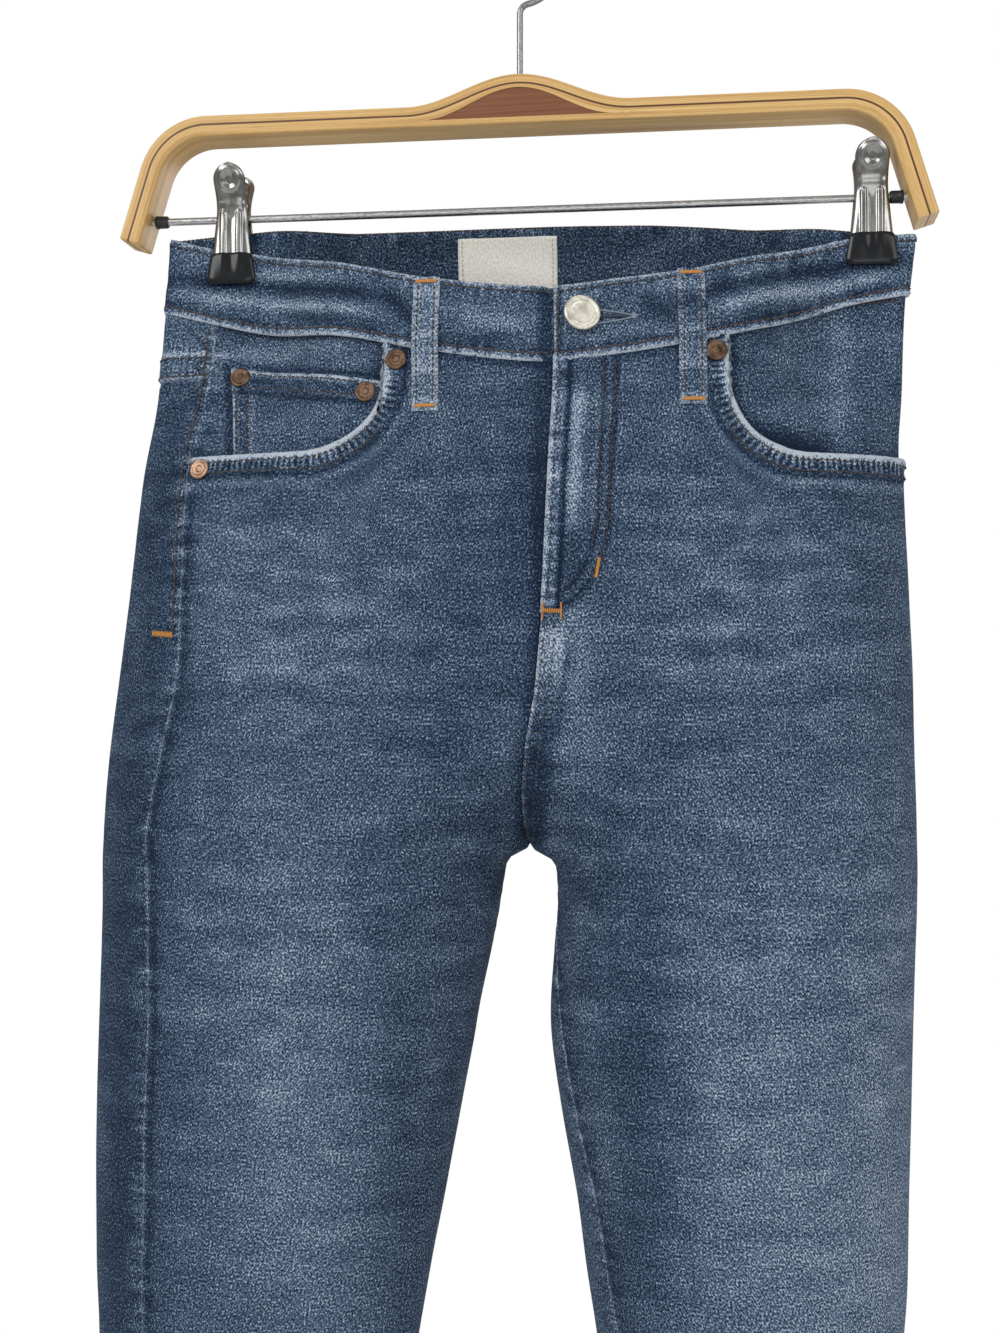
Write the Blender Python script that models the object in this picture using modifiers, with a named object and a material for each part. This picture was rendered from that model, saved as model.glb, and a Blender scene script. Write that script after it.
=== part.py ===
"""Skinny jeans hanging by the waistband from the two clips of a bent-wood trouser hanger.

Metres, +Z up. The front faces -Y and the viewer's left is -X. The origin is the top of the inside of
the wire hook, where a rail carries it. Sizes below are in millimetres and go through MM.
"""

import math

import bmesh
import bpy
from mathutils import Matrix, Vector

MM = 0.001
GAP = 0.3  # between neighbouring pieces
TRIM_GAP = 0.6  # under a piece that lies on a panel
CLOTH = 1.5  # denim wall
HEM_CLOTH = 3.0  # denim turned up at the hem
BAND_CLOTH = 2.4  # waistband, several layers
BAND_PROUD = 1.0  # how far the band stands out from the panels
TRIM_CLOTH = 1.2  # belt loops, pockets and pocket facings

CROTCH_Z = -442.0
HEM_Z = -1144.0
HEM_FOLD = 16.0
NOMINAL_WAIST_Z = -200.0  # height of the front panels' first row
NOMINAL_YOKE_Z = -228.0  # height of the back panels' first row
LEVEL_Z = -330.0  # rows below this lie level
RIGHT_LEG_DEPTH = 0.17  # the right leg hangs rounder than the left

# Sections of the garment. left and right: the outer folds. front_centre and back_centre: the centre
# seams, which the cloth's turn in the clips carries to opposite sides. spread: 0 where both halves make
# one loop, 1 at the crotch, more where the legs part. parted: from the centre to a leg's inner fold.
# front and back: half depths. The turns, in degrees round from the outer fold, place the side seams
# and the inseams.
SECTION_COLUMNS = (
    "z", "left", "right", "front_centre", "back_centre", "spread", "parted", "front", "back",
    "left_turn", "right_turn", "inseam_turn",
)
SECTIONS = (
    (-125, -172.0, 187.5, 18.5, -4, 0.00, 0, 18, 22, 30, -10, 0),
    (-150, -173.0, 186.5, 18.5, -6, 0.00, 0, 20, 24, 30, -10, 0),
    (-185, -176.0, 182.5, 19.0, -14, 0.00, 0, 29, 32, 30, -10, 0),
    (-225, -179.2, 181.0, 20.0, -18, 0.00, 0, 39, 44, 30, -11, 0),
    (-265, -186.3, 180.3, 18.5, -23, 0.02, 0, 48, 60, 31, -12, 0),
    (-325, -193.0, 182.5, 16.3, -27, 0.10, 0, 56, 77, 35, -13, 0),
    (-364, -197.6, 184.2, 13.5, -23, 0.27, 0, 60, 82, 40, -15, 0),
    (-400, -201.5, 184.8, 7.5, -13, 0.54, 0, 62, 80, 43, -17, 0),
    (-422, -203.0, 185.3, 5.5, -1, 0.79, 0, 62, 76, 45, -19, 0),
    (-442, -203.8, 185.5, 5.2, 5.2, 1.00, 0, 62, 72, 47, -20, 0),
    (-450, -204.2, 185.6, 5.3, 5.3, 1.015, 11.7, 61, 71, 48, -20, 0),
    (-470, -204.2, 185.2, 4.2, 4.2, 1.05, 14.0, 61, 68, 49, -21, 5),
    (-488, -204.7, 184.5, 1.8, 1.8, 1.08, 15.0, 60, 66, 50, -21, 13),
    (-527, -206.2, 183.3, -2.8, -2.8, 1.15, 18.0, 56, 61, 52, -22, 25),
    (-565, -207.2, 182.2, -3.7, -3.7, 1.23, 24.0, 53, 57, 52, -23, 29),
    (-604, -207.7, 181.0, -4.1, -4.1, 1.34, 31.2, 49, 53, 53, -24, 33),
    (-643, -207.5, 180.4, -5.5, -5.5, 1.45, 37.6, 45, 49, 53, -24, 35),
    (-678, -206.0, 178.2, -5.8, -5.8, 1.553, 43.2, 42, 46, 53, -24, 37),
    (-785, -204.0, 175.5, -8.0, -8.0, 1.80, 56.0, 38, 42, 50, -23, 35),
    (-900, -202.0, 172.5, -9.5, -9.5, 2.00, 64.0, 36, 42, 45, -21, 32),
    (-1000, -200.0, 170.0, -10.5, -10.5, 2.17, 70.0, 31, 37, 40, -19, 30),
    (-1160, -198.5, 168.0, -10.5, -10.5, 2.31, 75.0, 26, 29, 35, -17, 28),
)

# Waistband edges: x across the garment, then the heights of the band's top and bottom edges.
BAND_COLUMNS = ("x", "top", "bottom")
BAND_FRONT = (
    (-176, -146, -183), (-152, -152, -189), (-126, -156, -195), (-75, -167, -203),
    (-39, -175, -211), (18, -181, -218), (49, -178, -215), (81, -174, -210),
    (117, -166, -202), (155, -156.5, -189), (184, -155, -184),
)
BAND_BACK = (
    (-176, -146, -183), (-134, -143, -181), (-87, -140, -178), (-3, -139, -177),
    (46, -140, -178), (85, -143, -181), (153, -152, -184.5), (184, -155, -184),
)
BAND_LEVEL_Z = -185.0  # height at which the band's x is taken
BAND_UNDERLAP = 40.0  # length of the band's lower end under the buttoned one
BAND_DIP = (math.radians(81.0), math.radians(87.5))  # turns over which that end goes under
YOKE_CENTRE_Z = -240.0
YOKE_SIDE_Z = {-1: -217.0, 1: -215.0}

FRONT_ROWS = (
    -200, -213, -227, -243, -260, -280, -300, -320, -340, -360, -380, -397, -411, -422, -430,
    -436, -439.5, -442, -445, -450, -458, -472, -492, -520, -560, -605, -655, -715, -785, -860,
    -940, -1020, -1090, -1128, HEM_Z,
)
BACK_ROWS = (-228, -243, -260) + FRONT_ROWS[5:]
FRONT_COLUMNS = 11
BACK_COLUMNS = 12

# The clips hold the band here, and the cloth is pressed flat round them.
CLIP_X = {-1: -141.5, 1: 166.0}
PINCH_FLAT = 13.0
PINCH_FADE = 48.0
PINCH_TOP_Z = -172.0
PINCH_END_Z = -275.0
FOLD_TOP = 1.9  # half thickness of the pressed band, and the fold's radius there
FOLD_PANEL = 4.5
FOLD_TOP_Z = -172.0
FOLD_PANEL_Z = -196.0

# Hand pockets: the scoop's upright edge, its low line, and the corner's radii.
SCOOPS = {
    -1: {"edge_x": -61.0, "low_z": -257.0, "radius_x": 36.0, "radius_z": 34.0},
    1: {"edge_x": 100.0, "low_z": -261.5, "radius_x": 36.0, "radius_z": 40.0},
}
CUT_TOP_Z = -150.0  # the cutters of the front panels reach this high
CUT_SIDE_X = 215.0  # and this far out, past the folds
CUT_DEPTH = 90.0
FACING_REACH = 16.0  # how far a facing runs on under the front panel
FACING_DEPTH = {-1: 3.7, 1: 2.0}
COIN_DEPTH = 2.0
COIN_CORNERS = ((-141.0, -211.0), (-132.0, -268.0), (-48.0, -272.0), (-48.0, -226.5))

# Fly: its edge is the front centre seam, and its far side turns in to it at the bottom.
FLY_WIDTH = 29.0
FLY_LOW_Z = -334.0
FLY_TURN_Z = 44.0  # height of the curved end
FLY_FOOT = 5.0  # width left at the bottom
FLY_PROUD = 0.8
FLY_CLOTH = 2.3
FLY_TOP_Z = -218.0  # height at which the fly's columns are laid out

LOOP_WIDTH = 12.5
LOOP_DROP = 30.0  # below the band's bottom edge
LOOP_ARCH = 2.0
LOOP_SEAT = 0.9  # gap under a loop's ends
LOOPS = (
    ("belt_loop_1", 1, -41.0),
    ("belt_loop_2", 1, 83.0),
    ("belt_loop_3", -1, -101.0),
    ("belt_loop_4", -1, -10.0),
    ("belt_loop_5", -1, 88.0),
)

# Back pockets, measured round from the centre back seam.
POCKET_FROM_SEAM = 24.0
POCKET_WIDTH_TOP = 126.0
POCKET_WIDTH_LOW = 110.0
POCKET_TOP_Z = -252.0
POCKET_SLOPE = 6.0  # how much higher the outer top corner is
POCKET_HEIGHT = 122.0
POCKET_POINT = 17.0
POCKET_SEAT = 0.85  # gap under the pocket

LABEL = {"left": -34.0, "right": 16.0, "top": -143.5, "bottom": -174.0, "cloth": 1.0}

BUTTON = {"x": 32.0, "z": -197.0, "radius": 8.6, "height": 3.4}
RIVET_RADIUS = 5.1
RIVET_HEIGHT = 1.3
RIVET_SEAT = 0.75  # gap under a rivet, whose disc is flat on rounded cloth

# Hanger.
BAR_DEPTH = 22.0
BAR_THICK = 10.0
BAR_EDGE = 0.8  # rounding of the wood's edges
BAR_TOP_Z = -88.3
BAR_BEND_X = 153.0
BAR_BEND_RADIUS = 34.0
BAR_SPLAY = math.radians(17.0)
BAR_ARM = 36.5
HUMP_HALF = 54.0
HUMP_RISE = 13.8
HUMP_PLY = 6.6
INFILL_HALF = 46.0
INFILL_REACH = 38.5  # the filling stops short of the opening's sharp corners
LENS_LOW_Z = BAR_TOP_Z - BAR_THICK + 3.0
HOOK_WIRE = 1.5
HOOK_RADIUS = 19.5
SHANK_SEAT = 5.0  # depth of the shank in the bar
HOOK_BEND = 78.0  # degrees that the shank bends over before the loop
ROD_RADIUS = 1.8
ROD_Z = -137.0
ROD_HALF = 186.5  # its ends sit in holes in the arms
ROD_HOLE = 20.0
CAP_END = 180.9
CAP_LENGTH = 6.4
CAP_RADIUS = 3.2
SLEEVE_RADIUS = 3.3
SLEEVE_HALF = 6.5
LEAF_SHEET = 1.0
LEAF_PROFILE = (
    (-112.0, -12.6), (-116.0, -11.6), (-123.0, -8.6), (-130.0, -5.8), (-137.0, -4.8), (-146.0, -5.4),
    (-154.6, -5.2),
)
LEAF_WIDTHS = ((-154.6, 9.6), (-140.0, 8.3), (-120.0, 8.0))
JAW = {"top": -154.9, "bottom": -169.6, "width": 24.6, "thick": 3.2}


class Curve:
    """A smooth curve through rising keys that stays between its neighbouring values."""

    def __init__(self, keys, values):
        self.keys = list(keys)
        self.values = list(values)
        steps = []
        for i in range(len(self.keys) - 1):
            steps.append((self.values[i + 1] - self.values[i]) / (self.keys[i + 1] - self.keys[i]))
        self.slopes = [steps[0]]
        for before, after in zip(steps, steps[1:]):
            level = before * after <= 0
            self.slopes.append(0.0 if level else 2 * before * after / (before + after))
        self.slopes.append(steps[-1])

    def __call__(self, key):
        key = min(max(key, self.keys[0]), self.keys[-1])
        i = 0
        while i < len(self.keys) - 2 and key > self.keys[i + 1]:
            i += 1
        width = self.keys[i + 1] - self.keys[i]
        t = (key - self.keys[i]) / width
        start = self.values[i] * (1 + 2 * t) * (1 - t) ** 2
        end = self.values[i + 1] * t * t * (3 - 2 * t)
        lean_in = width * self.slopes[i] * t * (1 - t) ** 2
        lean_out = width * self.slopes[i + 1] * t * t * (t - 1)
        return start + end + lean_in + lean_out


def curves(columns, rows):
    """One Curve for each named column, on the first column."""
    ordered = sorted(rows)
    keys = [row[0] for row in ordered]
    return {name: Curve(keys, [row[i] for row in ordered]) for i, name in enumerate(columns) if i}


SECTION = curves(SECTION_COLUMNS, SECTIONS)
BAND = {1: curves(BAND_COLUMNS, BAND_FRONT), -1: curves(BAND_COLUMNS, BAND_BACK)}
LEAF_Y = Curve(*zip(*sorted(LEAF_PROFILE)))


def ease(value, start, end):
    t = min(max((value - start) / (end - start), 0.0), 1.0)
    return t * t * (3 - 2 * t)


def lerp(start, end, t):
    return start + (end - start) * t


# The cloth's outer surface ------------------------------------------------------------------------


def pinch(x, z):
    """How far the clips press the front and the back together, from 0 to 1."""
    held = 1 - ease(-z, -PINCH_TOP_Z, -PINCH_END_Z)
    near = min(abs(x - CLIP_X[-1]), abs(x - CLIP_X[1]))
    return held * (1 - ease(near, PINCH_FLAT, PINCH_FLAT + PINCH_FADE))


def half_loop(z, side, front):
    """Centre line and half width of one side's loop at a height."""
    centre = SECTION["front_centre" if front else "back_centre"](z)
    outer = SECTION["right" if side > 0 else "left"](z)
    return centre, abs(outer - centre) / (1 + SECTION["spread"](z))


def surface(z, side, turn):
    """Point of the outer surface. turn goes round from the outer fold, positive over the front."""
    front = math.sin(turn) >= 0
    centre, half = half_loop(z, side, front)
    spread = SECTION["spread"](z)
    pulled = max(SECTION["parted"](z) - (spread - 1) * half, 0.0) if spread >= 1 else 0.0
    inward = (0.5 - 0.5 * math.cos(turn)) ** 4
    x = centre + side * (half * (spread + math.cos(turn)) + pulled * inward)
    depth = SECTION["front" if front else "back"](z)
    if side > 0:
        depth *= 1 + RIGHT_LEG_DEPTH * ease(-z, -CROTCH_Z, -CROTCH_Z + 100)
    swell = depth * abs(math.sin(turn)) * (1 - pinch(x, z))
    radius = lerp(FOLD_TOP, FOLD_PANEL, ease(-z, -FOLD_TOP_Z, -FOLD_PANEL_Z))
    inset = min(half * (1 - abs(math.cos(turn))), radius)
    lip = math.sqrt(max(2 * radius * inset - inset * inset, 0.0))
    y = math.hypot(swell, lip)
    return Vector((x, -y if front else y, z))


def outward(z, side, turn):
    """Unit normal of the outer surface, pointing out of the garment."""
    round_step = surface(z, side, turn + 0.002) - surface(z, side, turn - 0.002)
    up_step = surface(z + 0.4, side, turn) - surface(z - 0.4, side, turn)
    return (up_step.cross(round_step) * side).normalized()


def moved(z, side, turn, out):
    return surface(z, side, turn) + outward(z, side, turn) * out


def turn_at(x, z, face):
    """Side and turn of the front (face 1) or back (face -1) point at x."""
    centre, _ = half_loop(z, 1, face > 0)
    side = 1 if x >= centre else -1
    centre, half = half_loop(z, side, face > 0)
    cosine = side * (x - centre) / half - SECTION["spread"](z)
    return side, face * math.acos(min(max(cosine, -1.0), 1.0))


def on_face(x, z, face, out):
    side, turn = turn_at(x, z, face)
    return moved(z, side, turn, out)


def centre_turn(z, side, front):
    """Turn of the centre seam's edge, half a gap from the seam."""
    _, half = half_loop(z, side, front)
    cosine = -SECTION["spread"](z) + 0.5 * GAP / half
    return math.acos(min(max(cosine, -1.0), 1.0))


def seam_turns(z, side):
    """Turns of the front inner, outer and back inner seams."""
    spread = SECTION["spread"](z)
    outer = math.radians(SECTION["left_turn" if side < 0 else "right_turn"](z))
    if spread < 1.0:
        return centre_turn(z, side, True), outer, -centre_turn(z, side, False)
    inner = math.pi - side * math.radians(SECTION["inseam_turn"](z))
    return inner, outer, inner - 2 * math.pi


def waist_level(side, turn, edge):
    """Height of the waistband's top or bottom edge."""
    face = 1 if math.sin(turn) >= 0 else -1
    centre, half = half_loop(BAND_LEVEL_Z, side, face > 0)
    return BAND[face][edge](centre + side * half * math.cos(turn))


def yoke_level(side, turn):
    """Height of the seam between yoke and back leg."""
    _, outer, inner = seam_turns(NOMINAL_YOKE_Z, side)
    return lerp(YOKE_CENTRE_Z, YOKE_SIDE_Z[side], (turn - inner) / (outer - inner))


def shares(z, side, start, end, count):
    """count + 1 turns from start to end, closer together where the surface bends."""
    samples = 60
    turns = [lerp(start, end, i / samples) for i in range(samples + 1)]
    points = [surface(z, side, turn) for turn in turns]
    run = [0.0]
    for i in range(samples):
        run.append(run[-1] + (points[i + 1] - points[i]).length + 25 * abs(turns[i + 1] - turns[i]))
    picked = []
    i = 0
    for share in range(count + 1):
        want = run[-1] * share / count
        while i < samples - 1 and run[i + 1] < want:
            i += 1
        picked.append(lerp(turns[i], turns[i + 1], (want - run[i]) / (run[i + 1] - run[i])))
    return picked


def seam_trim(z, side, turn):
    """The change of turn that half a gap takes."""
    step = (surface(z, side, turn + 0.01) - surface(z, side, turn - 0.01)).length / 0.02
    return 0.5 * GAP / max(step, 1.0)


# Making objects -----------------------------------------------------------------------------------


def clear_scene():
    for old in list(bpy.data.objects):
        bpy.data.objects.remove(old, do_unlink=True)
    for mesh in list(bpy.data.meshes):
        bpy.data.meshes.remove(mesh)


def new_collection(name):
    made = bpy.data.collections.new(name)
    bpy.context.scene.collection.children.link(made)
    return made


def finish(name, colour, roughness, metallic=0.0):
    material = bpy.data.materials.new(name)
    material.use_nodes = True
    shader = material.node_tree.nodes["Principled BSDF"]
    shader.inputs["Base Color"].default_value = (*colour, 1.0)
    shader.inputs["Roughness"].default_value = roughness
    shader.inputs["Metallic"].default_value = metallic
    material.diffuse_color = (*colour, 1.0)
    return material


def link_mesh(name, bm, material, smooth_angle=35.0):
    """Turn a closed bmesh in millimetres into an object in metres, its faces pointing out."""
    bmesh.ops.recalc_face_normals(bm, faces=bm.faces)
    if bm.calc_volume(signed=True) < 0:
        bmesh.ops.reverse_faces(bm, faces=bm.faces)
    bmesh.ops.scale(bm, vec=(MM, MM, MM), verts=bm.verts)
    mesh = bpy.data.meshes.new(name)
    bm.to_mesh(mesh)
    bm.free()
    mesh.materials.append(material)
    mesh.shade_smooth()
    mesh.set_sharp_from_angle(angle=math.radians(smooth_angle))
    made = bpy.data.objects.new(name, mesh)
    PIECES.objects.link(made)
    return made


def shell(name, columns, rows, place, material):
    """A wall of columns by rows cells. place(column, row) gives its outer and inner point."""
    bm = bmesh.new()
    bmesh.ops.create_grid(bm, x_segments=columns, y_segments=rows, size=0.5)
    copied = bmesh.ops.extrude_face_region(bm, geom=bm.faces[:], use_keep_orig=True)
    for vert in copied["geom"]:
        if isinstance(vert, bmesh.types.BMVert):
            vert.co.z = -1.0
    for vert in bm.verts:
        column = round((vert.co.x + 0.5) * columns)
        row = round((vert.co.y + 0.5) * rows)
        outer, inner = place(column, row)
        vert.co = outer if vert.co.z > -0.5 else inner
    return link_mesh(name, bm, material)


def turned(name, profile, material, place, sides=16):
    """A solid turned round +Z from (radius, height) pairs, its first and last on the axis."""
    bm = bmesh.new()
    verts = [bm.verts.new((radius, 0, height)) for radius, height in profile]
    edges = [bm.edges.new(pair) for pair in zip(verts, verts[1:])]
    bmesh.ops.spin(
        bm, geom=verts + edges, axis=(0, 0, 1), cent=(0, 0, 0), dvec=(0, 0, 0),
        angle=2 * math.pi, steps=sides, use_merge=True, use_duplicate=False,
    )
    bmesh.ops.remove_doubles(bm, verts=bm.verts, dist=0.001)
    bmesh.ops.transform(bm, matrix=place, verts=bm.verts)
    return link_mesh(name, bm, material)


def ring(name, inner, outer, start_x, end_x, z, material, sides=20):
    """A sleeve along X."""
    bm = bmesh.new()
    corners = ((start_x, inner), (start_x, outer), (end_x, outer), (end_x, inner))
    verts = [bm.verts.new((x, 0, radius)) for x, radius in corners]
    edges = [bm.edges.new((verts[i], verts[(i + 1) % 4])) for i in range(4)]
    bmesh.ops.spin(
        bm, geom=verts + edges, axis=(1, 0, 0), cent=(0, 0, 0), dvec=(0, 0, 0),
        angle=2 * math.pi, steps=sides, use_merge=True, use_duplicate=False,
    )
    bmesh.ops.remove_doubles(bm, verts=bm.verts, dist=0.001)
    bmesh.ops.translate(bm, vec=(0, 0, z), verts=bm.verts)
    return link_mesh(name, bm, material)


def cutter_from(name, bm):
    bmesh.ops.recalc_face_normals(bm, faces=bm.faces)
    bmesh.ops.scale(bm, vec=(MM, MM, MM), verts=bm.verts)
    mesh = bpy.data.meshes.new(name)
    bm.to_mesh(mesh)
    bm.free()
    cutter = bpy.data.objects.new(name, mesh)
    cutter.hide_render = True
    cutter.display_type = "WIRE"
    CUTTERS.objects.link(cutter)
    return cutter


def prism(name, outline, near_y, far_y):
    """A cutter with the given (x, z) outline, from near_y to far_y."""
    bm = bmesh.new()
    base = bm.faces.new([bm.verts.new((x, near_y, z)) for x, z in outline])
    swept = bmesh.ops.extrude_face_region(bm, geom=[base], use_keep_orig=True)
    for vert in swept["geom"]:
        if isinstance(vert, bmesh.types.BMVert):
            vert.co.y = far_y
    return cutter_from(name, bm)


def cut(piece, cutter):
    modifier = piece.modifiers.new(cutter.name, "BOOLEAN")
    modifier.operation = "DIFFERENCE"
    modifier.solver = "EXACT"
    modifier.object = cutter


# Garment ------------------------------------------------------------------------------------------


def cloth_wall(z):
    return HEM_CLOTH if z < HEM_Z + HEM_FOLD else CLOTH


def leg_grid(side, front):
    """Outer points and normals of a leg panel, from the waist or yoke seam to the hem."""
    rows = FRONT_ROWS if front else BACK_ROWS
    columns = FRONT_COLUMNS if front else BACK_COLUMNS
    grid = []
    for nominal in rows:
        front_inner, outer, back_inner = seam_turns(nominal, side)
        start, end = (front_inner, outer) if front else (outer, back_inner)
        start -= seam_trim(nominal, side, start) if not front or nominal <= CROTCH_Z else 0
        end += seam_trim(nominal, side, end) if front or nominal <= CROTCH_Z else 0
        fade = 1 - ease(-nominal, -rows[0], -LEVEL_Z)
        line = []
        for turn in shares(nominal, side, start, end, columns):
            seam = waist_level(side, turn, "bottom") if front else yoke_level(side, turn)
            z = nominal + (seam - 0.5 * GAP - rows[0]) * fade
            point = surface(z, side, turn)
            centre, _ = half_loop(z, side, front)
            point.x = centre + side * max(side * (point.x - centre), 0.5 * GAP)
            line.append((point, outward(z, side, turn)))
        grid.append(line)
    return grid


def leg_panel(name, grid, material):
    def place(i, j):
        point, out = grid[j][i]
        return point, point - out * cloth_wall(point.z)

    return shell(name, len(grid[0]) - 1, len(grid) - 1, place, material)


def laid_flat(grid, round_from_end):
    """Each grid point's x, or its distance round from the last column, with its height."""
    flat = []
    for line in grid:
        points = [point for point, _ in line]
        run = [0.0]
        for here, there in zip(reversed(points), list(reversed(points))[1:]):
            run.append(run[-1] + (there - here).length)
        across = list(reversed(run)) if round_from_end else [point.x for point in points]
        flat.append([(a, point.z, 0.0) for a, point in zip(across, points)])
    return flat


def patch(name, grid, flat, edges, outs, material):
    """A piece cut from a panel's own facets and moved out.

    edges are (start, end) pairs on the panel laid flat, with the piece on the left of each.
    """
    rows, columns = len(grid) - 1, len(grid[0]) - 1
    bm = bmesh.new()
    at = bm.verts.layers.float_vector.new("at")
    out = bm.verts.layers.float_vector.new("out")
    bmesh.ops.create_grid(bm, x_segments=columns, y_segments=rows, size=0.5)
    for vert in bm.verts:
        column = round((vert.co.x + 0.5) * columns)
        row = round((vert.co.y + 0.5) * rows)
        vert[at], vert[out] = grid[row][column]
        vert.co = flat[row][column]
    for (x0, z0), (x1, z1) in edges:
        bmesh.ops.bisect_plane(
            bm, geom=bm.verts[:] + bm.edges[:] + bm.faces[:], dist=0.2,
            plane_co=(x0, z0, 0), plane_no=(z1 - z0, x0 - x1, 0), clear_outer=True,
        )
    copied = bmesh.ops.extrude_face_region(bm, geom=bm.faces[:], use_keep_orig=True)
    inner = {vert for vert in copied["geom"] if isinstance(vert, bmesh.types.BMVert)}
    for vert in bm.verts:
        vert.co = vert[at] + vert[out].normalized() * (min(outs) if vert in inner else max(outs))
    return link_mesh(name, bm, material)


def yoke(name, side, material):
    columns = BACK_COLUMNS
    rows = 3
    _, outer, inner = seam_turns(NOMINAL_YOKE_Z, side)
    trim = seam_trim(NOMINAL_YOKE_Z, side, outer)
    turns = shares(NOMINAL_YOKE_Z, side, outer - trim, inner, columns)

    def place(i, j):
        turn = turns[i]
        top = waist_level(side, turn, "bottom") - 0.5 * GAP
        low = yoke_level(side, turn) + 0.5 * GAP
        z = lerp(top, low, j / rows)
        return moved(z, side, turn, 0.0), moved(z, side, turn, -CLOTH)

    return shell(name, columns, rows, place, material)


def band_stations():
    """(side, turn, depth) stations from the buttoned end round the back to the end below it."""
    quarter = 13
    stations = []
    for side, start, end in ((1, 1, 0), (1, 0, -1), (-1, -1, 0), (-1, 0, 1)):
        quarter_turns = shares(BAND_LEVEL_Z, side, start * math.pi / 2, end * math.pi / 2, quarter)
        first = 1 if stations else 0
        stations += [(side, turn, 0.0) for turn in quarter_turns[first:]]
    under = BAND_CLOTH + GAP
    seated = []
    for side, turn, _ in stations:
        run_in = side < 0 and turn > 0
        depth = under * ease(turn, *BAND_DIP) if run_in else 0.0
        seated.append((side, turn, depth))
    _, half = half_loop(BAND_LEVEL_Z, 1, True)
    last = math.acos(BAND_UNDERLAP / half)
    under_turns = [lerp(math.pi / 2, last, i / 4) for i in range(1, 5)]
    return seated + [(1, turn, under) for turn in under_turns]


def waistband(material):
    stations = band_stations()
    rows = 3

    def place(i, j):
        side, turn, depth = stations[i]
        top = waist_level(side, turn, "top")
        low = waist_level(side, turn, "bottom") + GAP
        z = lerp(top, low, j / rows)
        out = BAND_PROUD - depth
        return moved(z, side, turn, out), moved(z, side, turn, out - BAND_CLOTH)

    return shell("waistband", len(stations) - 1, rows, place, material)


def scoop_outline(side):
    """The hand pocket's opening as (x, z) points, closed above the band and past the side fold."""
    scoop = SCOOPS[side]
    edge, low = scoop["edge_x"], scoop["low_z"]
    rx, rz = scoop["radius_x"], scoop["radius_z"]
    outline = [(edge, CUT_TOP_Z)]
    for step in range(9):
        angle = 0.5 * math.pi * step / 8
        x = edge + side * rx * (1 - math.cos(angle))
        outline.append((x, low + rz * (1 - math.sin(angle))))
    outline.append((side * CUT_SIDE_X, low))
    outline.append((side * CUT_SIDE_X, CUT_TOP_Z))
    return outline


def facing(name, side, grid, material):
    """The denim that shows in the scoop, sewn behind the front panel."""
    scoop = SCOOPS[side]
    x = scoop["edge_x"] - side * FACING_REACH
    low = scoop["low_z"] - FACING_REACH
    upright = ((x, 0), (x, -side))
    edges = (upright, ((0, low), (1, low)))
    depth = FACING_DEPTH[side]
    return patch(name, grid, laid_flat(grid, False), edges, (-depth, -depth - TRIM_CLOTH), material)


def coin_pocket(grid, material):
    edges = [(COIN_CORNERS[i], COIN_CORNERS[(i + 1) % 4]) for i in range(4)]
    depths = (-COIN_DEPTH, -COIN_DEPTH - TRIM_CLOTH)
    return patch("coin_pocket", grid, laid_flat(grid, False), edges, depths, material)


def fly_far_x(z, grow=0.0):
    """x of the fly's stitched side, curving in to the centre seam at the bottom."""
    edge = SECTION["front_centre"](z)
    climb = min(max((z - FLY_LOW_Z + grow) / (FLY_TURN_Z + grow), 0.0), 1.0)
    return edge + FLY_FOOT + (FLY_WIDTH + grow - FLY_FOOT) * math.sqrt(1 - (1 - climb) ** 2)


def fly(material):
    columns, rows = 4, 12

    def place(i, j):
        at_top = SECTION["front_centre"](FLY_TOP_Z) + FLY_WIDTH * i / columns
        side, turn = turn_at(at_top, FLY_TOP_Z, 1)
        top = waist_level(side, turn, "bottom") - 0.5 * GAP
        z = lerp(top, FLY_LOW_Z, 1 - (1 - j / rows) ** 1.5)
        x = lerp(SECTION["front_centre"](z) + 0.5 * GAP, fly_far_x(z), i / columns)
        return on_face(x, z, 1, FLY_PROUD), on_face(x, z, 1, FLY_PROUD - FLY_CLOTH)

    return shell("fly", columns, rows, place, material)


def fly_outline():
    """The opening that the fly fills in the front panel, a gap wider all round."""
    low = FLY_LOW_Z - TRIM_GAP
    heights = [lerp(low, BAND_LEVEL_Z - 10.0, (i / 28) ** 1.6) for i in range(29)]
    outline = [(fly_far_x(z, TRIM_GAP), z) for z in heights]
    return outline + [(outline[-1][0], CUT_TOP_Z), (0.0, CUT_TOP_Z), (0.0, low)]


def belt_loop(name, face, middle_x, material):
    columns, rows = 2, 9

    def place(i, j):
        side, turn = turn_at(middle_x, BAND_LEVEL_Z, face)
        top = waist_level(side, turn, "top") - 1.5
        band_low = waist_level(side, turn, "bottom")
        z = lerp(top, band_low - LOOP_DROP, j / rows)
        x = middle_x + LOOP_WIDTH * (i / columns - 0.5)
        over_band = BAND_PROUD * ease(z, band_low - 4.0, band_low - 1.5)
        arch = LOOP_ARCH * math.sin(math.pi * j / rows) ** 2
        out = over_band + LOOP_SEAT + arch
        return on_face(x, z, face, out + TRIM_CLOTH), on_face(x, z, face, out)

    return shell(name, columns, rows, place, material)


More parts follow.
